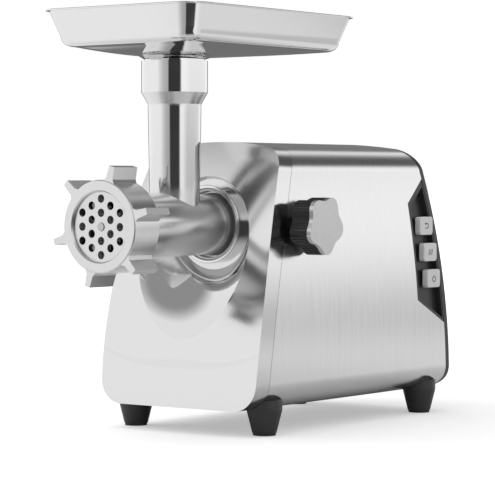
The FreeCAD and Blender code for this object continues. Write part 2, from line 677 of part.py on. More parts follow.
def plate_hole_places():
    """Hole centres on a hexagonal grid: a ring of six and a ring of twelve."""
    places = []
    for i in range(6):
        a = math.radians(60 * i + 30)
        b = math.radians(60 * i)
        places.append((PLATE_PITCH * math.cos(a), PLATE_PITCH * math.sin(a)))
        places.append((2 * PLATE_PITCH * math.cos(a), 2 * PLATE_PITCH * math.sin(a)))
        far = math.sqrt(3) * PLATE_PITCH
        places.append((far * math.cos(b), far * math.sin(b)))
    return places


def grinding_plate():
    plate = rod(PLATE_RADIUS, PLATE_Y, PLATE_Y + PLATE_THICK)
    holes = [rod(STUD_RADIUS + LOOSE, PLATE_Y - 1, PLATE_Y + PLATE_THICK + 1)]
    for x, z in plate_hole_places():
        holes.append(rod(PLATE_HOLE, PLATE_Y - 1, PLATE_Y + PLATE_THICK + 1, x, AXIS_Z + z))
    notch = rod(KEY_RADIUS + LOOSE, PLATE_Y - 1, PLATE_Y + PLATE_THICK + 1, 0, KEY_Z)
    return plate.cut(fuse(holes)).cut(notch)


def ring_nut():
    outer = rod(NUT_RADIUS, NUT_Y, NUT_Y + NUT_DEPTH)
    rim = [e for e in outer.Edges if abs(e.CenterOfMass.y - NUT_Y) < 0.01]
    outer = outer.makeFillet(1.6, rim)
    ears = []
    for i in range(NUT_EARS):
        reach = NUT_RADIUS + EAR_REACH
        half = EAR_THICK / 2
        outline = polygon([
            V(NUT_RADIUS - 3, NUT_Y + 0.6, -half - 4.5), V(NUT_RADIUS + 2.5, NUT_Y + 0.6, -half - 0.8),
            V(reach, NUT_Y + 0.6, -half), V(reach, NUT_Y + 0.6, half),
            V(NUT_RADIUS + 2.5, NUT_Y + 0.6, half + 0.8), V(NUT_RADIUS - 3, NUT_Y + 0.6, half + 4.5),
        ])
        ear = outline.extrude(V(0, NUT_DEPTH - 1.2, 0))
        ear.rotate(V(0, 0, 0), V(0, 1, 0), -(15 + i * 360 / NUT_EARS))
        ear.translate(V(0, 0, AXIS_Z))
        ears.append(ear)
    solid = fuse([outer] + ears)
    opening = rod(NUT_OPENING, NUT_Y - 1, NUT_Y + NUT_DEPTH)
    room = rod(THREAD_RADIUS + 0.4, NUT_Y + NUT_LIP, NUT_Y + NUT_DEPTH + 1)
    nut = solid.cut(opening).cut(room)
    edge = [e for e in nut.Edges
            if abs(e.CenterOfMass.y - NUT_Y) < 0.01 and abs(e.BoundBox.XLength - 2 * NUT_OPENING) < 0.1]
    return nut.makeChamfer(1.0, edge)


# ---- tray ------------------------------------------------------------------------------------
def tray_section(inset, z, corner):
    x = TRAY_HALF - TRAY_LIP - inset
    return rounded_rectangle(-x, x, TUBE_Y - TRAY_AHEAD + TRAY_LIP + inset,
                             TUBE_Y + TRAY_BEHIND - TRAY_LIP - inset, corner, z)


def neck_section(radius, z):
    return rounded_rectangle(-radius, radius, TUBE_Y - radius, TUBE_Y + radius, radius - 0.1, z)


def tray_solid(wall, neck_radius, top_extra):
    """Inside or outside of the tray: steep walls, a rounded fold and a shallow funnel."""
    drop = 1.0 * wall
    sections = [
        tray_section(wall - TRAY_DRAFT * top_extra / 30.0, TRAY_RIM_Z + top_extra, TRAY_CORNER),
        tray_section(TRAY_DRAFT + wall, TRAY_FOLD_Z + drop, TRAY_CORNER - 1),
        tray_section(TRAY_DRAFT + 4 + wall, TRAY_FOLD_Z - 5 + drop, TRAY_CORNER),
        tray_section(TRAY_DRAFT + 13 + wall, TRAY_FLOOR_Z + 0.7 + drop, TRAY_CORNER),
        neck_section(neck_radius, COLLAR_TOP + 0.4 + drop),
    ]
    return Part.makeLoft(sections, True, True)


def hopper_tray():
    neck_outer = COLLAR_RADIUS - COLLAR_WALL - LOOSE
    neck_inner = neck_outer - TRAY_NECK_WALL
    outer = tray_solid(0, neck_outer + 2.0, 0)
    lip = Part.Face(rounded_rectangle(
        -TRAY_HALF, TRAY_HALF, TUBE_Y - TRAY_AHEAD, TUBE_Y + TRAY_BEHIND,
        TRAY_CORNER + TRAY_LIP, TRAY_RIM_Z - TRAY_LIP_DROP)).extrude(V(0, 0, TRAY_LIP_DROP))
    neck = post(neck_outer, COLLAR_BOTTOM + 3.4, COLLAR_TOP + 4, 0, TUBE_Y)
    inner = tray_solid(TRAY_WALL, neck_inner, 1.0)
    throat = post(neck_inner, COLLAR_BOTTOM, COLLAR_TOP + 6, 0, TUBE_Y)
    return fuse([outer, lip, neck]).cut(inner).cut(throat)


# ---- clamp -----------------------------------------------------------------------------------


def clamp_pad():
    pad = side_rod(PAD_RADIUS, PAD_X, PAD_X + PAD_LENGTH, CLAMP_Y, AXIS_Z)
    return pad.cut(side_rod(SCREW_TIP + RUNNING, PAD_X + 2, PAD_X + PAD_LENGTH + 1, CLAMP_Y, AXIS_Z))


def clamp_nut():
    """Threaded block bolted to the socket's side boss."""
    block = box(NUT_X, NUT_X + 12, CLAMP_Y - 10, CLAMP_Y + 10, AXIS_Z - 10, AXIS_Z + 10)
    return block.cut(side_rod(SCREW_RADIUS + RUNNING, NUT_X - 1, NUT_X + 13, CLAMP_Y, AXIS_Z))


def clamp_screw():
    knob_x = shell_half_width(AXIS_Z) + KNOB_GAP
    tip = side_rod(SCREW_TIP, PAD_X + 2.1, PAD_X + PAD_LENGTH + 1, CLAMP_Y, AXIS_Z)
    shank = side_rod(SCREW_RADIUS, PAD_X + PAD_LENGTH + 0.5, knob_x + 10, CLAMP_Y, AXIS_Z)
    return fuse([tip, shank])


def lobed_face(x, radius, lobe):
    """A wavy round outline made of arcs: one hump and one hollow for each lobe."""
    edges = []
    step = 2 * math.pi / KNOB_LOBES
    for i in range(KNOB_LOBES):
        points = []
        for share in (0.0, 0.25, 0.5, 0.75, 1.0):
            r = radius + lobe * math.cos(2 * math.pi * share)
            a = i * step + share * step + KNOB_TURN
            points.append(V(x, CLAMP_Y + r * math.cos(a), AXIS_Z + r * math.sin(a)))
        curve = Part.BSplineCurve()
        curve.interpolate(points)
        edges.append(curve.toShape())
    return Part.Face(Part.Wire(edges))


def knob_body():
    x = shell_half_width(AXIS_Z) + KNOB_GAP
    body = lobed_face(x, KNOB_RADIUS - KNOB_LOBE, KNOB_LOBE).extrude(V(KNOB_BODY, 0, 0))
    stem = side_rod(KNOB_STEM, x - KNOB_GAP - 3.5, x + 1, CLAMP_Y, AXIS_Z)
    screw = side_rod(SCREW_RADIUS, x - 30, x + 10, CLAMP_Y, AXIS_Z)
    return fuse([body, stem]).cut(screw)


def knob_cap():
    x = shell_half_width(AXIS_Z) + KNOB_GAP + KNOB_BODY
    return lobed_face(x, KNOB_RADIUS - KNOB_LOBE + 0.5, KNOB_LOBE).extrude(V(KNOB_CAP, 0, 0))


# ---- control panel ---------------------------------------------------------------------------
def button_places():
    places = []
    for i in range(3):
        z = BUTTON_Z + (1 - i) * BUTTON_PITCH
        places.append((BUTTON_Y + (i - 1) * BUTTON_LEAN, z, shell_half_width(z)))
    return places


def control_panel():
    """Black panel sunk into the housing's side, with sloping walls around its floor."""
    plug = body_prism(0.5).cut(body_prism(PANEL_BACK)).common(panel_block(0.35, 0))
    plug = plug.common(ahead_of_rear(REAR_BAND + SEAM))
    outer = Part.makePolygon([V(95, y, z) for y, z in panel_corners(0.8, 4.0)])
    inner = Part.makePolygon([V(70, y, z) for y, z in panel_corners(6.5, 12.0)])
    outer = Part.Wire(outer.Edges + [line(outer.Vertexes[-1].Point, outer.Vertexes[0].Point)])
    inner = Part.Wire(inner.Edges + [line(inner.Vertexes[-1].Point, inner.Vertexes[0].Point)])
    recess = Part.makeLoft([outer, inner], True, True).cut(body_prism(PANEL_RECESS))
    panel = plug.cut(recess.common(ahead_of_rear(REAR_BAND + PANEL_END_WALL)))
    floor = PANEL_RECESS - 0.2
    half_y = BUTTON_WIDTH / 2 + LOOSE
    half_z = BUTTON_HEIGHT / 2 + LOOSE
    for y, z, x in button_places():
        panel = panel.cut(box(x - floor, x + 10, y - half_y, y + half_y, z - half_z, z + half_z))
        panel = panel.cut(box(x - 30, x + 10, y - STEM_HALF - LOOSE, y + STEM_HALF + LOOSE,
                              z - STEM_HALF - LOOSE, z + STEM_HALF + LOOSE))
    return panel


def button(y, z, x):
    """Square push button with a stem through the panel's floor."""
    face = x + BUTTON_PROUD
    back = x - PANEL_RECESS + BUTTON_TRAVEL + 0.6
    half_y = BUTTON_WIDTH / 2
    half_z = BUTTON_HEIGHT / 2
    cap = box(back, face, y - half_y, y + half_y, z - half_z, z + half_z)
    along = [e for e in cap.Edges if e.BoundBox.XLength > 1]
    cap = cap.makeFillet(3.0, along)
    rim = [e for e in cap.Edges if abs(e.CenterOfMass.x - face) < 0.01]
    cap = cap.makeFillet(0.8, rim)
    tip = BOARD_X + BOARD_THICK + SWITCH_HEIGHT + LOOSE + BUTTON_TRAVEL
    stem = box(tip, back + 1, y - STEM_HALF, y + STEM_HALF, z - STEM_HALF, z + STEM_HALF)
    return fuse([cap, stem])


def switch_board():
    y, z = button_places()[1][:2]
    board = box(BOARD_X, BOARD_X + BOARD_THICK, y - 20, y + 4, z - 36, z + 36)
    posts = []
    for dz in (-32, 32):
        wall = shell_half_width(z + dz) - PANEL_BACK
        posts.append(side_rod(2.5, BOARD_X + BOARD_THICK, wall - 0.6, y - 15, z + dz))
    return fuse([board] + posts)


def tact_switches():
    switches = []
    for y, z, _ in button_places():
        base = BOARD_X + BOARD_THICK
        body = box(base, base + SWITCH_HEIGHT - 2, y - 4, y + 4, z - 4, z + 4)
        switches.append(fuse([body, side_rod(2.5, base, base + SWITCH_HEIGHT, y, z)]))
    return switches


# ---- gears -----------------------------------------------------------------------------------
def gear(teeth, module, x, z, y0, width, phase):
    """Involute spur gear about an axis along Y; phase is the angle of one tooth's centre."""
    pitch_r = module * teeth / 2
    base_r = pitch_r * math.cos(PRESSURE_ANGLE)
    tip_r = pitch_r + ADDENDUM * module
    root_r = pitch_r - DEDENDUM * module

    def involute(angle):
        return math.tan(angle) - angle

    thick = math.pi / (2 * teeth) - BACKLASH * module / (2 * pitch_r)
    start_r = max(base_r, root_r + 0.02)
    flank = []
    for i in range(5):
        r = start_r + (tip_r - start_r) * i / 4
        angle = math.acos(min(1.0, base_r / r))
        flank.append((r, thick + involute(PRESSURE_ANGLE) - involute(angle)))
    points = []
    for tooth in range(teeth):
        centre = phase + 2 * math.pi * tooth / teeth
        sides = [(root_r, centre - flank[0][1])]
        sides += [(r, centre - a) for r, a in flank]
        sides += [(r, centre + a) for r, a in reversed(flank)]
        sides += [(root_r, centre + flank[0][1])]
        for r, a in sides:
            points.append(V(x + r * math.cos(a), y0, z + r * math.sin(a)))
    return polygon(points).extrude(V(0, width, 0))


def mesh_phase(teeth_a, phase_a, teeth_b, direction):
    """Tooth phase of gear b that meets gear a along the given direction from a to b."""
    return direction + math.pi - (phase_a - direction) * teeth_a / teeth_b + math.pi / teeth_b


def gear_centres():
    """Places of the output, second, first and motor axes, as (x, z)."""
    spans = [(p + w) * m / 2 for p, w, m in STAGES]
    output = (0.0, AXIS_Z)
    second = (output[0] + spans[2] * math.cos(OUTPUT_TO_SECOND),
              output[1] + spans[2] * math.sin(OUTPUT_TO_SECOND))
    first = (second[0] + spans[1] * math.cos(SECOND_TO_FIRST),
             second[1] + spans[1] * math.sin(SECOND_TO_FIRST))
    motor = (0.0, first[1] - math.sqrt(spans[0] ** 2 - first[0] ** 2))
    return output, second, first, motor


OUTPUT_AT, SECOND_AT, FIRST_AT, MOTOR_AT = gear_centres()


def direction(a, b):
    return math.atan2(b[1] - a[1], b[0] - a[0])


def motor_pinion():
    teeth, _, module = STAGES[0]
    start, width = LAYERS[0]
    body = gear(teeth, module, MOTOR_AT[0], MOTOR_AT[1], start, width, 0.0)
    return body.cut(rod(PINION_BORE, start - 1, start + width + 1, MOTOR_AT[0], MOTOR_AT[1]))


def compound_gear(stage, centre, wheel_phase, pinion_layer):
    """A wheel of one stage fixed to the pinion of the next, with a bore for its pin."""
    _, wheel, module = STAGES[stage]
    pinion, _, next_module = STAGES[stage + 1]
    start, width = LAYERS[stage]
    far = LAYERS[pinion_layer][0]
    x, z = centre
    disc = gear(wheel, module, x, z, start, width, wheel_phase)
    small = gear(pinion, next_module, x, z, far, start + 0.01 - far, 0.0)
    return fuse([disc, small]).cut(rod(PIN_RADIUS + RUNNING, far - 1, start + width + 1, x, z))


def first_gear():
    phase = mesh_phase(STAGES[0][0], 0.0, STAGES[0][1], direction(MOTOR_AT, FIRST_AT))
    return compound_gear(0, FIRST_AT, phase, 1)


def second_gear():
    phase = mesh_phase(STAGES[1][0], 0.0, STAGES[1][1], direction(FIRST_AT, SECOND_AT))
    return compound_gear(1, SECOND_AT, phase, 2)


def output_gear():
    pinion, wheel, module = STAGES[2]
    phase = mesh_phase(pinion, 0.0, wheel, direction(SECOND_AT, OUTPUT_AT))
    start, width = LAYERS[2]
    disc = gear(wheel, module, OUTPUT_AT[0], OUTPUT_AT[1], start, width, phase)
    return disc.cut(rod(OUTPUT_RADIUS, start - 1, start + width + 1))


def output_shaft():
    """Shaft of the output gear, ending in the hexagon that drives the auger."""
    bar = rod(OUTPUT_RADIUS, GEARBOX_FRONT - 3.4, GEARBOX_REAR - 2.5)
    return fuse([bar, hexagon(HEX_RADIUS, TAIL_Y + 4.6, GEARBOX_FRONT - 3)])


def output_bearings():
    inner = OUTPUT_RADIUS + RUNNING
    front = tube(BEARING_OUTER, inner, GEARBOX_FRONT - 2.5, LAYERS[2][0] - 0.5, 0, AXIS_Z)
    rear = tube(BEARING_OUTER, inner, GEARBOX_REAR - BEARING_WIDTH - 2, GEARBOX_REAR - 2,
                   0, AXIS_Z)
    return [front, rear]


def gearbox_block(inset, y0, y1):
    left = SECOND_AT[0] - 28 - GEARBOX_MARGIN + inset
    right = 34 + GEARBOX_MARGIN - inset
    low = MOTOR_AT[1] - 12 + inset
    high = AXIS_Z + 34 + GEARBOX_MARGIN - inset
    wire = rounded_rectangle(left, right, low, high, 14 - inset, 0)
    block = Part.Face(wire).extrude(V(0, 0, y1 - y0))
    block.rotate(V(0, 0, 0), V(1, 0, 0), 90)
    block.translate(V(0, y1, 0))
    return block


def gearbox_case():
    """Cup of the gearbox, open to the front, with seats for pins and bearings."""
    front = GEARBOX_FRONT + GEARBOX_WALL + 0.05
    case = gearbox_block(0, front, GEARBOX_REAR)
    case = case.cut(gearbox_block(GEARBOX_WALL, front - 1, GEARBOX_REAR - GEARBOX_WALL))
    seat = tube(BEARING_OUTER + 3, BEARING_OUTER, GEARBOX_REAR - BEARING_WIDTH - 2,
                GEARBOX_REAR - GEARBOX_WALL + 0.5)
    bosses = [seat]
    for x, z in (FIRST_AT, SECOND_AT):
        bosses.append(rod(PIN_RADIUS + 2.5, GEARBOX_REAR - GEARBOX_WALL - 4, GEARBOX_REAR - 1, x, z))
    case = fuse([case] + bosses + screw_lugs(front, GEARBOX_REAR - 4))
    for x, z in (FIRST_AT, SECOND_AT):
        case = case.cut(rod(PIN_RADIUS, GEARBOX_REAR - GEARBOX_WALL - 5, GEARBOX_REAR - 1, x, z))
    for screw in gearbox_screws():
        case = case.cut(screw)
    case = case.cut(rod(BEARING_OUTER, GEARBOX_REAR - BEARING_WIDTH - 2, GEARBOX_REAR - 2))
    return case.cut(rod(SHAFT_RADIUS + 1.5, GEARBOX_REAR - 10, GEARBOX_REAR + 1, *MOTOR_AT))


def gearbox_cover():
    """Front plate of the gearbox; the head socket is screwed to it."""
    plate = gearbox_block(0, GEARBOX_FRONT, GEARBOX_FRONT + GEARBOX_WALL)
    seat = rod(BEARING_OUTER + 3, GEARBOX_FRONT - 2.5, GEARBOX_FRONT + GEARBOX_WALL)
    cover = fuse([plate, seat] + screw_lugs(GEARBOX_FRONT, GEARBOX_FRONT + GEARBOX_WALL))
    for screw in gearbox_screws():
        cover = cover.cut(screw)
    cover = cover.cut(rod(BEARING_OUTER, GEARBOX_FRONT - 10, LAYERS[2][0] + 1))
    for x, z in (FIRST_AT, SECOND_AT):
        cover = cover.cut(rod(PIN_RADIUS, GEARBOX_FRONT + 1, 0, x, z))
    for screw in socket_screws():
        cover = cover.cut(screw)
    return cover


def gear_pins():
    pins = []
    for x, z in (FIRST_AT, SECOND_AT):
        pins.append(rod(PIN_RADIUS, GEARBOX_FRONT + 1, GEARBOX_REAR - 1, x, z))
    return pins


def gearbox_screw_places():
    left = SECOND_AT[0] - 28 - GEARBOX_MARGIN
    right = 34 + GEARBOX_MARGIN
    return [(x, z) for x in (left - 3.0, right + 3.0) for z in (MOTOR_AT[1] + 8, AXIS_Z + 20)]


def screw_lugs(y0, y1):
    return [rod(5.0, y0, y1, x, z) for x, z in gearbox_screw_places()]


def gearbox_screws():
    screws = []
    for x, z in gearbox_screw_places():
        head = rod(3.4, GEARBOX_FRONT - 2.5, GEARBOX_FRONT, x, z)
        screws.append(fuse([head, rod(2.0, GEARBOX_FRONT, GEARBOX_REAR - 8, x, z)]))
    return screws


# ---- motor -----------------------------------------------------------------------------------
def motor_rod(radius, y0, y1):
    return rod(radius, y0, y1, *MOTOR_AT)


def stator():
    """Laminated stack with a round bore and room for the field coils on both sides."""
    x, z = MOTOR_AT
    end = STATOR_START + STATOR_LENGTH
    block = box(x - STATOR_HALF, x + STATOR_HALF, STATOR_START, end,
                z - STATOR_HALF, z + STATOR_HALF)
    upright = [e for e in block.Edges if e.BoundBox.YLength > 1]
    block = block.makeFillet(16.0, upright)
    room = []
    for sign in (-1, 1):
        a = x + sign * (STATOR_BORE - 7)
        b = x + sign * (STATOR_HALF - 7)
        room.append(box(min(a, b), max(a, b), STATOR_START - 1, end + 1, z - 21, z + 21))
    block = block.cut(motor_rod(STATOR_BORE, STATOR_START - 1, end + 1)).cut(fuse(room))
    return block.cut(fuse(tie_bolts(0.05)))


def field_coils():
    x, z = MOTOR_AT
    end = STATOR_START + STATOR_LENGTH
    coils = []
    for sign in (-1, 1):
        a = x + sign * (STATOR_BORE + 1.5)
        b = x + sign * (STATOR_HALF - 7)
        outer = box(min(a, b), max(a, b), STATOR_START - COIL_OVERHANG, end + COIL_OVERHANG,
                    z - 20.9, z + 20.9)
        inner = box(min(a, b) - 1, max(a, b) + 1, STATOR_START - 1, end + 1, z - 9, z + 9)
        coils.append(outer.cut(inner))
    return coils


def armature():
    end = STATOR_START + STATOR_LENGTH
    core = motor_rod(STATOR_BORE - AIR_GAP, STATOR_START + 1, end - 1)
    core = fuse([core, motor_rod(19.0, STATOR_START - 8, end + 8)])
    slots = []
    for i in range(12):
        slot = box(-1.4, 1.4, STATOR_START, end, 20.5, 26)
        slot.rotate(V(0, 0, 0), V(0, 1, 0), i * 30)
        slot.translate(V(MOTOR_AT[0], 0, MOTOR_AT[1]))
        slots.append(slot)
    return core.cut(fuse(slots)).cut(motor_rod(SHAFT_RADIUS, -50, 150))


def motor_shaft():
    neck = LAYERS[0][0] + LAYERS[0][1]
    return fuse([motor_rod(SHAFT_RADIUS, neck + 0.5, REAR_BRACKET + BRACKET_THICK + 4),
                 motor_rod(PINION_BORE, LAYERS[0][0], neck + 1)])


def commutator():
    end = COMMUTATOR_START + COMMUTATOR_LENGTH
    body = motor_rod(COMMUTATOR_RADIUS, COMMUTATOR_START, end)
    grooves = []
    for i in range(COMMUTATOR_BARS):
        groove = box(-0.35, 0.35, COMMUTATOR_START - 1, end + 1, COMMUTATOR_RADIUS - 1, 14)
        groove.rotate(V(0, 0, 0), V(0, 1, 0), i * 360 / COMMUTATOR_BARS)
        groove.translate(V(MOTOR_AT[0], 0, MOTOR_AT[1]))
        grooves.append(groove)
    return body.cut(fuse(grooves)).cut(motor_rod(SHAFT_RADIUS, -50, 150))


def brush_span(sign, inner, outer, y0, y1, half):
    a = MOTOR_AT[0] + sign * inner
    b = MOTOR_AT[0] + sign * outer
    return box(min(a, b), max(a, b), y0, y1, MOTOR_AT[1] - half, MOTOR_AT[1] + half)


def brushes():
    y = COMMUTATOR_START + COMMUTATOR_LENGTH / 2
    inner = COMMUTATOR_RADIUS + LOOSE
    return [brush_span(s, inner, inner + 15, y - BRUSH / 2, y + BRUSH / 2, BRUSH / 2)
            for s in (-1, 1)]


def brush_holders():
    y = COMMUTATOR_START + COMMUTATOR_LENGTH / 2
    holders = []
    for s in (-1, 1):
        outer = brush_span(s, COMMUTATOR_RADIUS + 3, COMMUTATOR_RADIUS + 20,
                           y - BRUSH / 2 - 2, REAR_BRACKET, BRUSH / 2 + 2)
        inner = brush_span(s, COMMUTATOR_RADIUS, COMMUTATOR_RADIUS + 18,
                           y - BRUSH / 2, y + BRUSH / 2, BRUSH / 2)
        holders.append(outer.cut(inner))
    return holders


def fan():
    end = FAN_START + FAN_WIDTH
    disc = motor_rod(FAN_RADIUS, end - 1.6, end)
    blades = []
    for i in range(FAN_BLADES):
        blade = box(-0.8, 0.8, FAN_START, end, 9, FAN_RADIUS - 0.5)
        blade.rotate(V(0, 0, 12), V(0, 1, 0), 24)
        blade.rotate(V(0, 0, 0), V(0, 1, 0), i * 360 / FAN_BLADES)
        blade.translate(V(MOTOR_AT[0], 0, MOTOR_AT[1]))
        blades.append(blade)
    hub = motor_rod(11.0, FAN_START, end)
    solid = fuse([disc, hub] + blades)
    return solid.common(motor_rod(FAN_RADIUS, FAN_START, end)).cut(motor_rod(SHAFT_RADIUS, -50, 150))


def bracket(y0, bearing_side):
    """Cross-shaped end bracket with a bearing seat and four ears for the tie bolts."""
    x, z = MOTOR_AT
    y1 = y0 + BRACKET_THICK
    bars = [box(x - 41, x + 41, y0, y1, z - 8, z + 8)]
    bars.append(box(x - 8, x + 8, y0, y1, z - 38, z + 38))
    bars.append(tube(41, 35, y0, y1, x, z))
    seat_end = y0 - (MOTOR_BEARING_WIDTH - BRACKET_THICK) if bearing_side < 0 else y1
    bars.append(rod(MOTOR_BEARING_OUTER + 3, min(seat_end, y0), y1, x, z))
    solid = fuse(bars)
    solid = solid.cut(motor_rod(MOTOR_BEARING_OUTER, y0 - 20, y1 + 20))
    return solid.cut(fuse(tie_bolts(0.05)))


def motor_bracket_front():
    return bracket(GEARBOX_REAR, 1)


def motor_bracket_rear():
    return bracket(REAR_BRACKET, 1)


def motor_bearings():
    x, z = MOTOR_AT
    inner = SHAFT_RADIUS + RUNNING
    return [
        tube(MOTOR_BEARING_OUTER, inner, GEARBOX_REAR, GEARBOX_REAR + MOTOR_BEARING_WIDTH, x, z),
        tube(MOTOR_BEARING_OUTER, inner, REAR_BRACKET - 1, REAR_BRACKET + BRACKET_THICK + 2, x, z),
    ]


def tie_bolts(slack=0.0):
    x, z = MOTOR_AT
    bolts = []
    for sx in (-1, 1):
        bx = x + sx * TIE_X
        shank = rod(2.0 + slack, GEARBOX_REAR, REAR_BRACKET + BRACKET_THICK + 2, bx, z)
        head = rod(3.6, REAR_BRACKET + BRACKET_THICK, REAR_BRACKET + BRACKET_THICK + 3, bx, z)
        bolts.append(fuse([shank, head]))
    return bolts


def motor_cradle():
    """Saddle on the base pan that carries the stator through rubber blocks."""
    x, z = MOTOR_AT
    floor = FLOOR_Z + SHELL_WALL + 0.3 + PAN_WALL
    low = z - STATOR_HALF
    pieces = [box(x - 30, x + 30, STATOR_START + 6, STATOR_START + 42, floor, floor + 4)]
    for sign in (-1, 1):
        cx = x + sign * 20
        pieces.append(box(cx - 4, cx + 4, STATOR_START + 8, STATOR_START + 40, floor, low))
    return fuse(pieces)


# ---- electrics -------------------------------------------------------------------------------


def power_board():
    floor = FLOOR_Z + SHELL_WALL + 0.3 + PAN_WALL
    board = box(POWER_X, POWER_X + 1.6, 22, 104, floor + 8, floor + 78)
    feet = [box(POWER_X - 2, POWER_X + 3.6, y, y + 8, floor, floor + 12) for y in (28, 90)]
    return fuse([board] + feet)


def board_parts():
    base = POWER_X + 1.6
    floor = FLOOR_Z + SHELL_WALL + 0.3 + PAN_WALL
    return [
        box(base, base + 14, 30, 46, floor + 40, floor + 68),
        box(base, base + 12, 52, 60, floor + 50, floor + 66),
        side_rod(6.0, base, base + 13, 80, floor + 60),
        box(base, base + 5, 66, 74, floor + 20, floor + 34),
        box(base, base + 10, 84, 100, floor + 18, floor + 30),
    ]


def cord_gland():
    """Bush in the rear cover where the mains lead enters."""
    y = rear_at(GLAND_Z)
    body = rod(GLAND_RADIUS, y - REAR_WALL - 6, y + 2, GLAND_X, GLAND_Z)
    flange = rod(GLAND_RADIUS + 2, y + 1.3, y + 4, GLAND_X, GLAND_Z)
    inside = rod(GLAND_RADIUS + 2, y - REAR_WALL - 7, y - REAR_WALL - 1.6, GLAND_X, GLAND_Z)
    return fuse([body, flange, inside]).cut(rod(GLAND_BORE, y - 30, y + 30, GLAND_X, GLAND_Z))


def rear_at(z):
    """How far back the rear reaches at a height."""
    slab = ahead_of_rear(0).common(box(-1, 1, -WIDE, WIDE, z - 0.5, z + 0.5))
    return slab.BoundBox.YMax


def rear_screws():
    screws = []
    for x in (-58, 58):
        for z in (60, 205):
            y = rear_at(z)
            if x < 0 and z < 100:
                z = 84
                y = rear_at(z)
            screws.append(fuse([rod(3.5, y - 0.4, y + 1.6, x, z), rod(1.8, y - 14, y, x, z)]))
    return screws


def main():
    os.makedirs("parts", exist_ok=True)
    screws = base_screws()
    export(front_bezel(), "front_bezel")
    shell = side_shell()
    for screw in screws:
        shell = shell.cut(screw)
    export(shell, "side_shell")
    rear = rear_cover()
    for screw in rear_screws():
        rear = rear.cut(screw)
    export(rear, "rear_cover")
    pan = base_pan()
    for screw in screws:
        pan = pan.cut(screw)
    export(pan, "base_pan")
    for sx, side in ((-1, "left"), (1, "right")):
        for sy, end in ((-1, "front"), (1, "rear")):
            piece = foot(sx, sy)
            for screw in screws:
                piece = piece.cut(screw)
            export(piece, f"foot_{end}_{side}")
    export(foot_pads(), "foot_pads")
    export(Part.makeCompound(screws), "base_screws")
    export(Part.makeCompound(rear_screws()), "rear_screws")

    export(socket_trim(), "socket_trim")
    export(head_socket(), "head_socket")

    export(head_casting(), "head_casting")
    export(barrel_bush(), "barrel_bush")
    export(rod(KEY_RADIUS, KEY_Y0, KEY_Y1, 0, KEY_Z), "plate_key")
    export(auger(), "auger")
    export(auger_stud(), "auger_stud")
    export(auger_drive_end(), "auger_drive_end")
    export(cross_knife(), "cross_knife")
    export(grinding_plate(), "grinding_plate")
    export(ring_nut(), "ring_nut")
    export(hopper_tray(), "hopper_tray")

    export(clamp_pad(), "clamp_pad")
    export(clamp_nut(), "clamp_nut")
    export(clamp_screw(), "clamp_screw")
    export(knob_body(), "knob_body")
    export(knob_cap(), "knob_cap")

    export(control_panel(), "control_panel")
    for name, place in zip(BUTTON_NAMES, button_places()):
        export(button(*place), name)
    export(switch_board(), "switch_board")
    export(Part.makeCompound(tact_switches()), "tact_switches")

    export(gearbox_case(), "gearbox_case")
    export(gearbox_cover(), "gearbox_cover")
    export(Part.makeCompound(gearbox_screws() + socket_screws()), "gearbox_screws")
    export(Part.makeCompound(gear_pins()), "gear_pins")
    export(motor_pinion(), "motor_pinion")
    export(first_gear(), "first_gear")
    export(second_gear(), "second_gear")
    export(output_gear(), "output_gear")
    export(output_shaft(), "output_shaft")
    export(Part.makeCompound(output_bearings()), "output_bearings")

    export(stator(), "motor_stator")
    export(Part.makeCompound(field_coils()), "field_coils")
    export(armature(), "armature")
    export(motor_shaft(), "motor_shaft")
    export(commutator(), "commutator")
    export(Part.makeCompound(brushes()), "brushes")
    export(Part.makeCompound(brush_holders()), "brush_holders")
    export(fan(), "fan")
    export(motor_bracket_front(), "motor_bracket_front")
    export(motor_bracket_rear(), "motor_bracket_rear")
    export(Part.makeCompound(motor_bearings()), "motor_bearings")
    export(Part.makeCompound(tie_bolts()), "tie_bolts")
    export(motor_cradle(), "motor_cradle")

    export(power_board(), "power_board")
    export(Part.makeCompound(board_parts()), "board_parts")
    export(cord_gland(), "cord_gland")


main()
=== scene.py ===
"""Looks of the electric meat grinder: finishes, small raised details, floor, light and camera."""
import math

import bmesh
import bpy
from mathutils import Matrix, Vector


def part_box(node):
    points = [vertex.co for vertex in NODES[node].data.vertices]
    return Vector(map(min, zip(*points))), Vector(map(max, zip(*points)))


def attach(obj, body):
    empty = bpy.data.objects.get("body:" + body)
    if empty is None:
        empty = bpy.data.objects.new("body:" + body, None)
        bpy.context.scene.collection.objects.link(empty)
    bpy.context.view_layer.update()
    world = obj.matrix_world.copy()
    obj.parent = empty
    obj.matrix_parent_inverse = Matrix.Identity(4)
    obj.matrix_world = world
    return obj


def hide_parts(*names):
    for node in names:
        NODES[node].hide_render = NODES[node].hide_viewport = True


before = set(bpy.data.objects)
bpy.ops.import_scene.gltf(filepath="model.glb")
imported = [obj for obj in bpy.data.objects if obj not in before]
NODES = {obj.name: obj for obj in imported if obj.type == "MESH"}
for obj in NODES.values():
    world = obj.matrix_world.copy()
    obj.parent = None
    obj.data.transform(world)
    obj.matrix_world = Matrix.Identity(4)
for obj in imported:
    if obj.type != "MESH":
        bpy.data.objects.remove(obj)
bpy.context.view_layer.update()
MM = 0.001

AXIS_HEIGHT = 0.180            # height of the feed screw's axis
DISH_POINTS = ((-0.1035, 0.040), (-0.134, 0.0655), (-0.1515, 0.104))
KNOB_LOBES = 5
KNOB_LOBE_HEIGHT = 2.6 * MM
KNOB_TURN = math.radians(60)
KNOB_AXIS = (-0.083, 0.180)
RIB_COUNT = 60
RIB_OUTLINE = 22.9 * MM
RIB_RADIUS = 0.65 * MM
RIB_LENGTH = 16 * MM
RIB_SETBACK = 1 * MM           # from the knob's cap to the ends of the ribs

BARREL_FADE = (0.216, 0.206)   # heights between which satin takes over from polish
FLARE_FOOT = (0.281, 0.284)
FLARE_TOP = (0.295, 0.293)

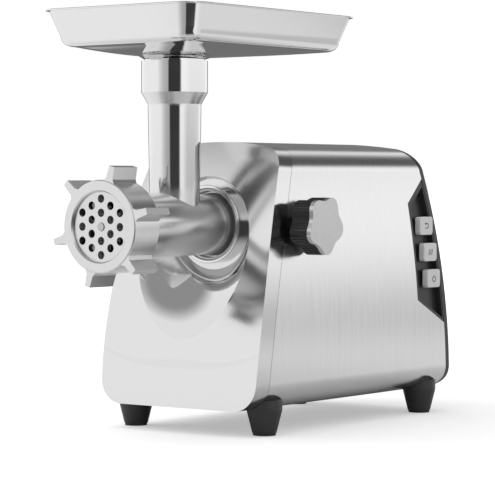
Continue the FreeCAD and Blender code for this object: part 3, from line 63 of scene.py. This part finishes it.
TRAY_WALL = 1 * MM
TRAY_LIP = 3 * MM              # how far the rim stands out past the walls
TRAY_DRAFT = 7.5 * MM          # how far the walls lean in towards the fold
TRAY_FOLD = 9 * MM             # radius of the fold between walls and funnel
TRAY_CORNER = 17 * MM
LEAST_CORNER = 4 * MM
CORNER_STEPS = 10
TRAY_RIM = ((0.6, -1.5), (0.1, -1.3), (0.0, -0.8), (0.1, -0.3), (0.6, 0.0), (2.6, 0.0))
RIM_DROP = 1.6 * MM
RIM_ROUNDING = 1.2 * MM        # how much rounder the rim's corners are than the walls'
WALL_FOOT = 0.3418
FOLD_HEIGHT = 0.334
FOLD_DROP = 1.2 * MM
FUNNEL_HEIGHT = 0.3255
SPOUT_LEVELS = (0.318, 0.3225)
SPOUT_RADIUS = 26.2 * MM
SPOUT_Y = -0.158

AHEAD_X, AHEAD_Y = 0.610, 0.792    # level direction of the front flag: +X, then -Y
FLOOR_REACH = 30.0
FLOOR_DROP = 0.0003                # keeps the floor just under the feet


# ---- node trees written as expressions -------------------------------------------------------
class Value:
    """A number that varies from place to place; arithmetic on it adds Math nodes to its tree."""

    def __init__(self, tree, socket):
        self.tree = tree
        self.socket = socket

    def _math(self, operation, first, second=0.0):
        made = self.tree.node("ShaderNodeMath", {"operation": operation}, {0: first, 1: second})
        return Value(self.tree, made.outputs[0])

    def __add__(self, other):
        return self._math("ADD", self, other)

    def __sub__(self, other):
        return self._math("SUBTRACT", self, other)

    def __rsub__(self, other):
        return self._math("SUBTRACT", other, self)

    def __mul__(self, other):
        return self._math("MULTIPLY", self, other)

    def __truediv__(self, other):
        return self._math("DIVIDE", self, other)

    def __pow__(self, other):
        return self._math("POWER", self, other)

    __radd__ = __add__
    __rmul__ = __mul__

    def function(self, operation):
        return self._math(operation, self)

    def at_least(self, other):
        return self._math("MAXIMUM", self, other)

    def rise(self, low, high):
        """0 below low and 1 above high, with a soft ramp between; the ramp falls if low > high."""
        settings = {"interpolation_type": "SMOOTHSTEP", "clamp": True}
        start, end = (0.0, 1.0) if low < high else (1.0, 0.0)
        inputs = {0: self, 1: min(low, high), 2: max(low, high), 3: start, 4: end}
        return Value(self.tree, self.tree.node("ShaderNodeMapRange", settings, inputs).outputs[0])


class Tree:
    """A node tree with one method that makes any node."""

    def __init__(self, node_tree):
        self.nodes = node_tree.nodes
        self.links = node_tree.links

    def node(self, kind, settings=None, inputs=None):
        made = self.nodes.new(kind)
        for name, value in (settings or {}).items():
            setattr(made, name, value)
        for name, value in (inputs or {}).items():
            source = value.socket if isinstance(value, Value) else value
            if isinstance(source, bpy.types.NodeSocket):
                self.links.new(source, made.inputs[name])
            else:
                made.inputs[name].default_value = source
        return made

    def parts(self, vector):
        split = self.node("ShaderNodeSeparateXYZ", None, {0: vector})
        return [Value(self, split.outputs[i]) for i in range(3)]

    def blend(self, factor, first, second):
        mix = self.node("ShaderNodeMix", {"data_type": "RGBA"}, {0: factor, 6: first, 7: second})
        return mix.outputs[2]


class Finish(Tree):
    """One material, with its own surface shader."""

    def __init__(self, name):
        self.material = bpy.data.materials.new(name)
        self.material.use_nodes = True
        super().__init__(self.material.node_tree)
        self.nodes.clear()
        self.place = self.node("ShaderNodeTexCoord").outputs["Object"]

    def noise(self, scale, detail=2.0, stretch=(1, 1, 1)):
        """Noise from 0 to 1; scale is in features for each metre, stretched along each axis."""
        mapped = self.node("ShaderNodeMapping", None, {"Vector": self.place, "Scale": stretch})
        inputs = {"Vector": mapped.outputs[0], "Scale": scale, "Detail": detail}
        return Value(self, self.node("ShaderNodeTexNoise", None, inputs).outputs[0])

    def bump(self, height, strength, distance):
        inputs = {"Height": height, "Strength": strength, "Distance": distance}
        return self.node("ShaderNodeBump", None, inputs).outputs[0]

    def surface(self, **inputs):
        """Principled surface; an underscore in a name stands for a space."""
        named = {name.replace("_", " "): value for name, value in inputs.items()}
        shader = self.node("ShaderNodeBsdfPrincipled", None, named)
        self.node("ShaderNodeOutputMaterial", None, {"Surface": shader.outputs[0]})
        return self.material


def grey(level, warmth=0.0):
    return (level * (1 + warmth), level, level * (1 - warmth), 1.0)


# ---- finishes --------------------------------------------------------------------------------
def brushed_shell():
    """Stainless sheet brushed up and down."""
    f = Finish("brushed_shell")
    coarse = f.noise(1.0, 2.0, (420, 420, 7))
    fine = f.noise(1.0, 2.0, (2600, 2600, 30))
    lines = coarse * 0.45 + fine * 0.55
    return f.surface(
        Base_Color=f.blend(lines, grey(0.70), grey(0.86)), Metallic=1.0,
        Roughness=0.15 + lines * 0.12, Normal=f.bump(lines, 0.10, 0.00006))


def satin_bezel():
    """Satin face with a mirror-polished dish around the socket."""
    f = Finish("satin_bezel")
    x, y, z = f.parts(f.place)
    across = ((x ** 2.0) + ((z - AXIS_HEIGHT) ** 2.0)) ** 0.5
    centre_y, centre_r, radius = circle_through(*DISH_POINTS)
    off = ((y - centre_y) ** 2.0 + (across - centre_r) ** 2.0) ** 0.5 - radius
    dish = off.function("ABSOLUTE").rise(0.0006, 0.0003)
    haze = f.noise(28.0, 4.0)
    rub = f.noise(1.0, 2.0, (1500, 1500, 60))
    satin = 0.10 + haze * 0.05 + rub * 0.04
    return f.surface(
        Base_Color=f.blend(dish, grey(0.73), grey(0.70)), Metallic=1.0,
        Roughness=satin * (1 - dish) + (0.055 + haze * 0.03) * dish,
        Normal=f.bump(rub * (1 - dish) + haze * 0.4, 0.03, 0.00008))


def polished_metal(name, level, roughness):
    """Polished casting or pressing, with faint waves and wiping marks."""
    f = Finish(name)
    wave = f.noise(22.0, 2.0)
    marks = f.noise(420.0, 5.0)
    return f.surface(
        Base_Color=f.blend(marks, grey(level - 0.03), grey(level + 0.02)), Metallic=1.0,
        Roughness=roughness + wave * 0.03 + marks * 0.04,
        Normal=f.bump(wave + marks * 0.02, 0.03, 0.0006))


def head_metal():
    """Casting with a mirror-polished neck and a softer, satin barrel."""
    f = Finish("polished_casting")
    _, _, z = f.parts(f.place)
    barrel = z.rise(*BARREL_FADE)
    flare = z.rise(*FLARE_FOOT) * z.rise(*FLARE_TOP)
    wave = f.noise(22.0, 2.0)
    marks = f.noise(420.0, 5.0)
    return f.surface(
        Base_Color=f.blend(marks, grey(0.75), grey(0.80)), Metallic=1.0 - barrel * 0.12,
        Roughness=0.06 + barrel * 0.13 + flare * 0.16 + wave * 0.03 + marks * 0.03,
        Normal=f.bump(wave + marks * 0.02, 0.03, 0.0006))


def satin_metal(name, level, roughness, grain=1400.0, depth=0.12):
    """Blasted or cast metal with a fine even grain."""
    f = Finish(name)
    fine = f.noise(grain, 3.0)
    patches = f.noise(60.0, 3.0)
    return f.surface(
        Base_Color=f.blend(patches, grey(level - 0.04), grey(level + 0.03)), Metallic=1.0,
        Roughness=roughness + fine * 0.08 + patches * 0.05,
        Normal=f.bump(fine, depth, 0.00008))


def turned_metal(name, level, axis_x, axis_z):
    """Metal faced on a lathe: fine rings around an axis along Y."""
    f = Finish(name)
    x, _, z = f.parts(f.place)
    radius = ((x - axis_x) ** 2.0 + (z - axis_z) ** 2.0) ** 0.5
    rings = (radius * 9000.0).function("SINE") * 0.5 + 0.5
    patches = f.noise(90.0, 3.0)
    return f.surface(
        Base_Color=f.blend(patches, grey(level - 0.04), grey(level + 0.03)), Metallic=1.0,
        Roughness=0.26 + rings * 0.05 + patches * 0.06, Normal=f.bump(rings, 0.05, 0.00005))


def moulded_plastic(name, colour, roughness, grain=900.0, depth=0.10):
    """Moulded plastic with a spark-eroded texture and a little sheen variation."""
    f = Finish(name)
    texture = f.noise(grain, 2.0)
    sheen = f.noise(35.0, 3.0)
    lighter = tuple(min(1.0, c * 1.35 + 0.004) for c in colour[:3]) + (1.0,)
    return f.surface(
        Base_Color=f.blend(sheen, colour, lighter),
        Roughness=roughness + texture * 0.08 + sheen * 0.07, Normal=f.bump(texture, depth, 0.0001))


def wound_copper():
    """Enamelled wire laid side by side."""
    f = Finish("wound_copper")
    _, y, _ = f.parts(f.place)
    turns = (y * 9000.0).function("SINE") * 0.5 + 0.5
    return f.surface(
        Base_Color=f.blend(turns, (0.28, 0.10, 0.035, 1), (0.62, 0.27, 0.11, 1)), Metallic=0.85,
        Roughness=0.30 + turns * 0.12, Normal=f.bump(turns, 0.4, 0.0002))


def stacked_sheets():
    """Motor iron: thin sheets stacked along the shaft."""
    f = Finish("stacked_sheets")
    _, y, _ = f.parts(f.place)
    sheets = (y * 6283.0).function("SINE") * 0.5 + 0.5
    rust = f.noise(120.0, 4.0)
    return f.surface(
        Base_Color=f.blend(rust, grey(0.20), grey(0.32, 0.04)), Metallic=0.9,
        Roughness=0.42 + sheets * 0.14, Normal=f.bump(sheets, 0.3, 0.0002))


def circle_through(first, second, third):
    """(centre, centre, radius) of the circle through three points of a plane."""
    (ax, ay), (bx, by), (cx, cy) = first, second, third
    d = 2 * (ax * (by - cy) + bx * (cy - ay) + cx * (ay - by))
    a2, b2, c2 = ax * ax + ay * ay, bx * bx + by * by, cx * cx + cy * cy
    ux = (a2 * (by - cy) + b2 * (cy - ay) + c2 * (ay - by)) / d
    uy = (a2 * (cx - bx) + b2 * (ax - cx) + c2 * (bx - ax)) / d
    return ux, uy, math.hypot(ax - ux, ay - uy)


def wear(node, material):
    """Gives a CAD node one finish."""
    slots = NODES[node].data.materials
    if len(slots) == 0:
        slots.append(material)
    for i in range(len(slots)):
        slots[i] = material


def dress_nodes():
    black = moulded_plastic("black_plastic", grey(0.022), 0.30)
    screw = satin_metal("screw_steel", 0.55, 0.30)
    casting = satin_metal("raw_casting", 0.55, 0.38, 700.0, 0.25)
    nylon = moulded_plastic("nylon", (0.74, 0.72, 0.64, 1), 0.38)
    board = moulded_plastic("board_green", (0.02, 0.12, 0.05, 1), 0.25)
    component = moulded_plastic("component_black", grey(0.03), 0.40)
    iron = stacked_sheets()
    copper = wound_copper()
    gear = satin_metal("sintered_gear", 0.38, 0.36)
    silver = moulded_plastic("key_silver", grey(0.66), 0.24, 1200.0, 0.04)
    tray_metal = polished_metal("polished_tray", 0.80, 0.05)
    groups = (
        (brushed_shell(), "side_shell"),
        (satin_bezel(), "front_bezel"),
        (polished_metal("chrome_trim", 0.80, 0.04), "socket_trim"),
        (head_metal(), "head_casting"),
        (tray_metal, "hopper_tray"),
        (satin_metal("satin_nut", 0.74, 0.24), "ring_nut"),
        # the auger and cross knife are painted dark grey: painted shade for the inside of the head,
        # seen through the plate's holes
        (satin_metal("shade_darkened_screw", 0.24, 0.32), "auger"),
        (turned_metal("turned_plate", 0.74, 0.0, AXIS_HEIGHT), "grinding_plate"),
        (satin_metal("shade_darkened_knife", 0.20, 0.34), "cross_knife"),
        (satin_metal("satin_cap", 0.66, 0.22), "knob_cap"),
        (moulded_plastic("knob_black", grey(0.018), 0.22), "knob_body"),
        (black, "rear_cover control_panel base_pan foot_front_left foot_front_right "
                "foot_rear_left foot_rear_right"),
        (moulded_plastic("rubber", grey(0.02), 0.62), "foot_pads"),
        (silver, "button_reverse button_speed button_power"),
        (casting, "head_socket motor_bracket_front motor_bracket_rear gearbox_case "
                  "gearbox_cover clamp_nut clamp_pad"),
        (screw, "base_screws rear_screws gearbox_screws tie_bolts gear_pins clamp_screw "
                "motor_shaft output_shaft auger_stud plate_key motor_bearings output_bearings"),
        (nylon, "first_gear second_gear barrel_bush auger_drive_end fan"),
        (gear, "motor_pinion output_gear"),
        (iron, "motor_stator armature motor_cradle"),
        (copper, "field_coils commutator brush_holders"),
        (board, "power_board switch_board"),
        (component, "board_parts tact_switches cord_gland brushes"),
    )
    for material, names in groups:
        for name in names.split():
            wear(name, material)
    return {"rib": NODES["knob_body"].data.materials[0], "mark": component, "tray": tray_metal}


# ---- knob ribs -------------------------------------------------------------------------------
def rib_tree():
    """Thin rods standing around a wavy outline, all along X."""
    group = bpy.data.node_groups.new("knob_ribs", "GeometryNodeTree")
    wanted = (("Count", "NodeSocketInt"), ("Outline Radius", "NodeSocketFloat"),
              ("Rib Radius", "NodeSocketFloat"), ("Length", "NodeSocketFloat"),
              ("Material", "NodeSocketMaterial"))
    named = {}
    for name, kind in wanted:
        named[name] = group.interface.new_socket(name, in_out="INPUT", socket_type=kind).identifier
    group.interface.new_socket("Geometry", in_out="OUTPUT", socket_type="NodeSocketGeometry")
    t = Tree(group)
    given = t.node("NodeGroupInput").outputs
    count, outline = Value(t, given["Count"]), Value(t, given["Outline Radius"])
    index = Value(t, t.node("GeometryNodeInputIndex").outputs[0])
    angle = index / count * math.tau
    reach = outline + ((angle - KNOB_TURN) * float(KNOB_LOBES)).function("COSINE") * KNOB_LOBE_HEIGHT
    spot = t.node("ShaderNodeCombineXYZ", None, {
        0: 0.0, 1: reach * angle.function("COSINE"), 2: reach * angle.function("SINE")})
    points = t.node("GeometryNodePoints", None, {0: count, 1: spot.outputs[0]})
    rod = t.node("GeometryNodeMeshCylinder", None, {
        "Vertices": 10, "Radius": given["Rib Radius"], "Depth": given["Length"]})
    put = t.node("GeometryNodeInstanceOnPoints", None, {
        "Points": points.outputs[0], "Instance": rod.outputs[0],
        "Rotation": (0.0, math.radians(90), 0.0)})
    whole = t.node("GeometryNodeRealizeInstances", None, {0: put.outputs[0]})
    dressed = t.node("GeometryNodeSetMaterial", None, {
        "Geometry": whole.outputs[0], "Material": given["Material"]})
    t.node("NodeGroupOutput", None, {0: dressed.outputs[0]})
    return group, named


def knob_ribs(material):
    cap_low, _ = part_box("knob_cap")
    group, named = rib_tree()
    holder = bpy.data.objects.new("rib_holder", bpy.data.meshes.new("rib_holder"))
    bpy.context.scene.collection.objects.link(holder)
    modifier = holder.modifiers.new("ribs", "NODES")
    modifier.node_group = group
    sizes = {"Count": RIB_COUNT, "Outline Radius": RIB_OUTLINE, "Rib Radius": RIB_RADIUS,
             "Length": RIB_LENGTH, "Material": material}
    for name, size in sizes.items():
        modifier[named[name]] = size
    depsgraph = bpy.context.evaluated_depsgraph_get()
    mesh = bpy.data.meshes.new_from_object(holder.evaluated_get(depsgraph))
    bpy.data.objects.remove(holder)
    middle = Vector((cap_low[0] - RIB_SETBACK - RIB_LENGTH / 2, KNOB_AXIS[0], KNOB_AXIS[1]))
    for vertex in mesh.vertices:
        vertex.co += middle
    return add_piece("knob_ribs", mesh, "knob")


# ---- hopper tray -----------------------------------------------------------------------------
def tray_ring(left, right, front, back, corner, z):
    """A level loop round a rectangle with round corners; all loops have the same points."""
    loop = []
    turns = ((right, back, 0), (left, back, 90), (left, front, 180), (right, front, 270))
    for x, y, start in turns:
        cx = x - corner if x == right else x + corner
        cy = y - corner if y == back else y + corner
        for i in range(CORNER_STEPS + 1):
            a = math.radians(start + 90.0 * i / CORNER_STEPS)
            loop.append((cx + corner * math.cos(a), cy + corner * math.sin(a), z))
    return loop


def tray_levels(wall):
    """Loops from the spout's foot up to the rim, each moved inwards by the wall's thickness."""
    low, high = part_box("hopper_tray")
    spout, top = SPOUT_RADIUS - wall, high[2]
    fold_inset = TRAY_LIP + TRAY_DRAFT + TRAY_FOLD
    fold_low = FOLD_HEIGHT - FOLD_DROP
    levels = []
    for z in (low[2], *SPOUT_LEVELS):
        levels.append((-spout, spout, SPOUT_Y - spout, SPOUT_Y + spout, spout, z + wall * 0.5))

    def wall_loop(inset, z, round_off=0.0):
        inset += wall
        corner = max(TRAY_CORNER - (inset - TRAY_LIP) * 0.4 + round_off, LEAST_CORNER)
        return (low[0] + inset, high[0] - inset, low[1] + inset, high[1] - inset, corner, z)

    fold = wall_loop(fold_inset, FOLD_HEIGHT)
    foot = levels[-1]
    for i in range(1, 9):
        share = (i / 8.0) ** 1.15
        mixed = [a + (b - a) * share for a, b in zip(foot[:5], fold[:5])]
        rise = FUNNEL_HEIGHT + (fold_low - FUNNEL_HEIGHT) * (i / 8.0) ** 1.7
        levels.append((*mixed, rise + wall))
    for i in range(1, 8):
        a = math.radians(90.0 * i / 7)
        inset = TRAY_LIP + TRAY_DRAFT + TRAY_FOLD * (1 - math.sin(a))
        levels.append(wall_loop(inset, fold_low + TRAY_FOLD * (1 - math.cos(a)) + wall * 0.4))
    for i in range(1, 7):
        share = i / 6.0
        z = WALL_FOOT + (top - RIM_DROP - WALL_FOOT) * share
        levels.append(wall_loop(TRAY_LIP + TRAY_DRAFT * (1 - share), z))
    return levels, wall_loop, top


def hopper_tray(material):
    """Pressed tray with a rounded fold, a shallow funnel and a thin rolled rim."""
    outer, place, top = tray_levels(0.0)
    inner, _, _ = tray_levels(TRAY_WALL)
    edge = [place(reach * MM, top + drop * MM, RIM_ROUNDING) for reach, drop in TRAY_RIM]
    levels = outer + edge + list(reversed(inner))
    loops = [tray_ring(*level) for level in levels]
    count = len(loops[0])
    corners = [spot for loop in loops for spot in loop]
    faces = []
    for ring in range(len(loops)):
        after = (ring + 1) % len(loops)
        for i in range(count):
            j = (i + 1) % count
            faces.append((ring * count + i, ring * count + j, after * count + j, after * count + i))
    mesh = bpy.data.meshes.new("tray_shell")
    mesh.from_pydata(corners, [], faces)
    shape = bmesh.new()
    shape.from_mesh(mesh)
    bmesh.ops.remove_doubles(shape, verts=shape.verts, dist=0.00001)
    bmesh.ops.recalc_face_normals(shape, faces=shape.faces)
    shape.to_mesh(mesh)
    shape.free()
    for face in mesh.polygons:
        face.use_smooth = True
    mesh.set_sharp_from_angle(angle=math.radians(50))
    mesh.materials.append(material)
    piece = add_piece("tray_shell", mesh, "tray")
    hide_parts("hopper_tray")


# ---- marks on the push buttons ---------------------------------------------------------------
def add_piece(name, mesh, body):
    piece = bpy.data.objects.new(name, mesh)
    bpy.context.scene.collection.objects.link(piece)
    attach(piece, body)
    return piece


def stroke(points, width):
    """Closed flat outlines, one small plate for each straight run, as lists of corners."""
    plates = []
    for (y0, z0), (y1, z1) in zip(points, points[1:]):
        run = math.hypot(y1 - y0, z1 - z0)
        along = ((y1 - y0) / run * width / 2, (z1 - z0) / run * width / 2)
        side = (-along[1], along[0])
        plates.append([
            (y0 - along[0] * 0.6 - side[0], z0 - along[1] * 0.6 - side[1]),
            (y1 + along[0] * 0.6 - side[0], z1 + along[1] * 0.6 - side[1]),
            (y1 + along[0] * 0.6 + side[0], z1 + along[1] * 0.6 + side[1]),
            (y0 - along[0] * 0.6 + side[0], z0 - along[1] * 0.6 + side[1])])
    return plates


def arc_points(radius, start, end, steps, y=0.0, z=0.0):
    spots = []
    for i in range(steps + 1):
        a = math.radians(start + (end - start) * i / steps)
        spots.append((y + radius * math.cos(a), z + radius * math.sin(a)))
    return spots


def raised_mark(name, plates, node, body, material):
    """Thin raised plates in the middle of a button's face."""
    low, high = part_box(node)
    middle_y, middle_z = (low[1] + high[1]) / 2, (low[2] + high[2]) / 2
    corners, faces = [], []
    for plate in plates:
        n, base = len(plate), len(corners)
        for x in (high[0] - 0.1 * MM, high[0] + 0.12 * MM):
            corners += [(x, middle_y + y * MM, middle_z + z * MM) for y, z in plate]
        faces.append([base + i for i in reversed(range(n))])
        faces.append([base + n + i for i in range(n)])
        faces += [[base + i, base + (i + 1) % n, base + n + (i + 1) % n, base + n + i]
                  for i in range(n)]
    mesh = bpy.data.meshes.new(name)
    mesh.from_pydata(corners, [], faces)
    mesh.materials.append(material)
    return add_piece(name, mesh, body)


def button_marks(material):
    back = [(-2.2, -2.0), (1.2, -2.0)] + arc_points(2.0, -90, 90, 8, 1.2, 0.0) + [(-1.4, 2.0)]
    head = [[(-3.2, 2.0), (-1.2, 0.6), (-1.2, 3.4)]]
    raised_mark("mark_return", stroke(back, 0.7) + head, "button_reverse", "reverse_key", material)
    bars = []
    for shift in (-2.4, 0.0, 2.4):
        bars += stroke([(shift - 0.7, -2.4), (shift + 0.7, 2.4)], 0.8)
    raised_mark("mark_speed", bars, "button_speed", "speed_key", material)
    ring = stroke(arc_points(2.6, 125, 415, 18, 0.0, -0.4), 0.7)
    bar = stroke([(0.0, 0.4), (0.0, 3.0)], 0.7)
    raised_mark("mark_power", ring + bar, "button_power", "power_key", material)


# ---- floor, light and camera -----------------------------------------------------------------
def pale_floor():
    """Plain floor that keeps the shadow and runs out into the white background; away from the
    grinder it shows glossy rays a painted reflection: a white glow with painted dark panels.
    """
    f = Finish("pale_floor")
    speck = f.noise(3.0, 2.0)
    paint = f.node("ShaderNodeBsdfDiffuse", None, {
        "Color": f.blend(speck, grey(0.70), grey(0.72))})
    path = f.node("ShaderNodeLightPath")
    seen = Value(f, path.outputs["Is Camera Ray"])
    x, y, _ = f.parts(f.place)
    far = ((x ** 2.0) + (y ** 2.0)) ** 0.5
    lift = 0.42 + far.rise(0.5, 2.2) * 0.6
    glow = f.node("ShaderNodeEmission", None, {"Color": grey(1.0), "Strength": seen * lift})
    both = f.node("ShaderNodeAddShader", None, {0: paint.outputs[0], 1: glow.outputs[0]})
    # painted reflection: glossy rays far out see the floor glow, darker where the painted dark
    # panels stand
    front, left, beyond, right = flags(x, y, far.at_least(0.01))
    low_right = right.rise(0.55, 0.9) * (0.16 + far.rise(0.9, 1.5) * 0.22)
    dark = (front * 0.95).at_least(left).at_least(beyond).at_least(low_right)
    painted_reflection_glow = f.node("ShaderNodeEmission", None, {
        "Color": grey(1.0), "Strength": (1 - dark) * 0.98})
    painted_reflection_share = Value(f, path.outputs["Is Glossy Ray"]) * far.rise(0.25, 0.60)
    whole = f.node("ShaderNodeMixShader", None, {
        0: painted_reflection_share, 1: both.outputs[0], 2: painted_reflection_glow.outputs[0]})
    f.node("ShaderNodeOutputMaterial", None, {"Surface": whole.outputs[0]})
    mesh = bpy.data.meshes.new("floor")
    square = ((-1, -1), (1, -1), (1, 1), (-1, 1))
    mesh.from_pydata([(x * FLOOR_REACH, y * FLOOR_REACH, -FLOOR_DROP) for x, y in square],
                     [], [(0, 1, 2, 3)])
    mesh.materials.append(f.material)
    floor = bpy.data.objects.new("floor", mesh)
    bpy.context.scene.collection.objects.link(floor)


def flags(x, y, level):
    """Dark panels round the room, by direction: (front, left, far), and how far to the right."""
    ahead = (x * AHEAD_X - y * AHEAD_Y) / level
    right = (x * AHEAD_Y + y * AHEAD_X) / level
    front = ahead.rise(0.895, 0.950)
    left = ahead.rise(0.35, 0.92) * right.rise(0.05, -0.15) * 0.55
    far = ahead.rise(-0.86, -0.95) * 0.82
    return front, left, far, right


def studio_room():
    """Pale room with dark flags, which polished metal shows as bands."""
    world = bpy.data.worlds.new("studio_room")
    world.use_nodes = True
    bpy.context.scene.world = world
    t = Tree(world.node_tree)
    t.nodes.clear()
    x, y, z = t.parts(t.node("ShaderNodeTexCoord").outputs["Generated"])
    level = ((x ** 2.0) + (y ** 2.0)).at_least(0.0001) ** 0.5
    front, left, far, right = flags(x, y, level)
    front_flag = front * z.rise(0.17, 0.09) * z.rise(-0.85, -0.65)
    low_right = right.rise(0.55, 0.9) * z.rise(0.09, -0.06) * 0.48
    high_right = right.rise(0.45, 0.8) * z.rise(0.20, 0.34) * z.rise(0.70, 0.56) * 0.92
    ceiling = z.rise(0.48, 0.74) * 0.68
    wash = right.rise(-0.5, -0.9) * 0.08
    dark = (front_flag * 0.97).at_least(left).at_least(far)
    dark = dark.at_least(low_right).at_least(high_right).at_least(ceiling).at_least(wash)
    path = t.node("ShaderNodeLightPath")
    camera = Value(t, path.outputs["Is Camera Ray"])
    glossy = Value(t, path.outputs["Is Glossy Ray"])
    soft = 0.62 * (1 - glossy) + (1 - dark) * 1.13 * glossy
    strength = camera + soft * (1 - camera)
    glow = t.node("ShaderNodeBackground", None, {"Color": grey(1.0), "Strength": strength})
    t.node("ShaderNodeOutputWorld", None, {"Surface": glow.outputs[0]})


def soft_lamp(name, place, size, power):
    lamp = bpy.data.lights.new(name, "AREA")
    lamp.shape = "SQUARE"
    lamp.size = size
    lamp.energy = power
    holder = bpy.data.objects.new(name, lamp)
    bpy.context.scene.collection.objects.link(holder)
    holder.location = place
    holder.visible_glossy = False
    aim = Vector((0.0, -0.04, 0.17)) - Vector(place)
    holder.rotation_euler = aim.to_track_quat("-Z", "Y").to_euler()


def set_camera():
    data = bpy.data.cameras.new("camera")
    data.sensor_width = 36.0
    data.lens = 167.3
    data.clip_end = 100.0
    camera = bpy.data.objects.new("camera", data)
    bpy.context.scene.collection.objects.link(camera)
    camera.location = (1.231, -1.716, 0.2177)
    camera.rotation_euler = (math.radians(90 - 1.56), 0.0, math.radians(36.5))
    bpy.context.scene.camera = camera


finishes = dress_nodes()
knob_ribs(finishes["rib"])
hopper_tray(finishes["tray"])
button_marks(finishes["mark"])
pale_floor()
studio_room()
soft_lamp("overhead_lamp", (-0.3, -0.5, 1.9), 1.5, 16.0)
soft_lamp("left_lamp", (-1.6, -1.1, 1.0), 1.2, 9.0)
set_camera()
bpy.context.scene.view_settings.view_transform = "Standard"
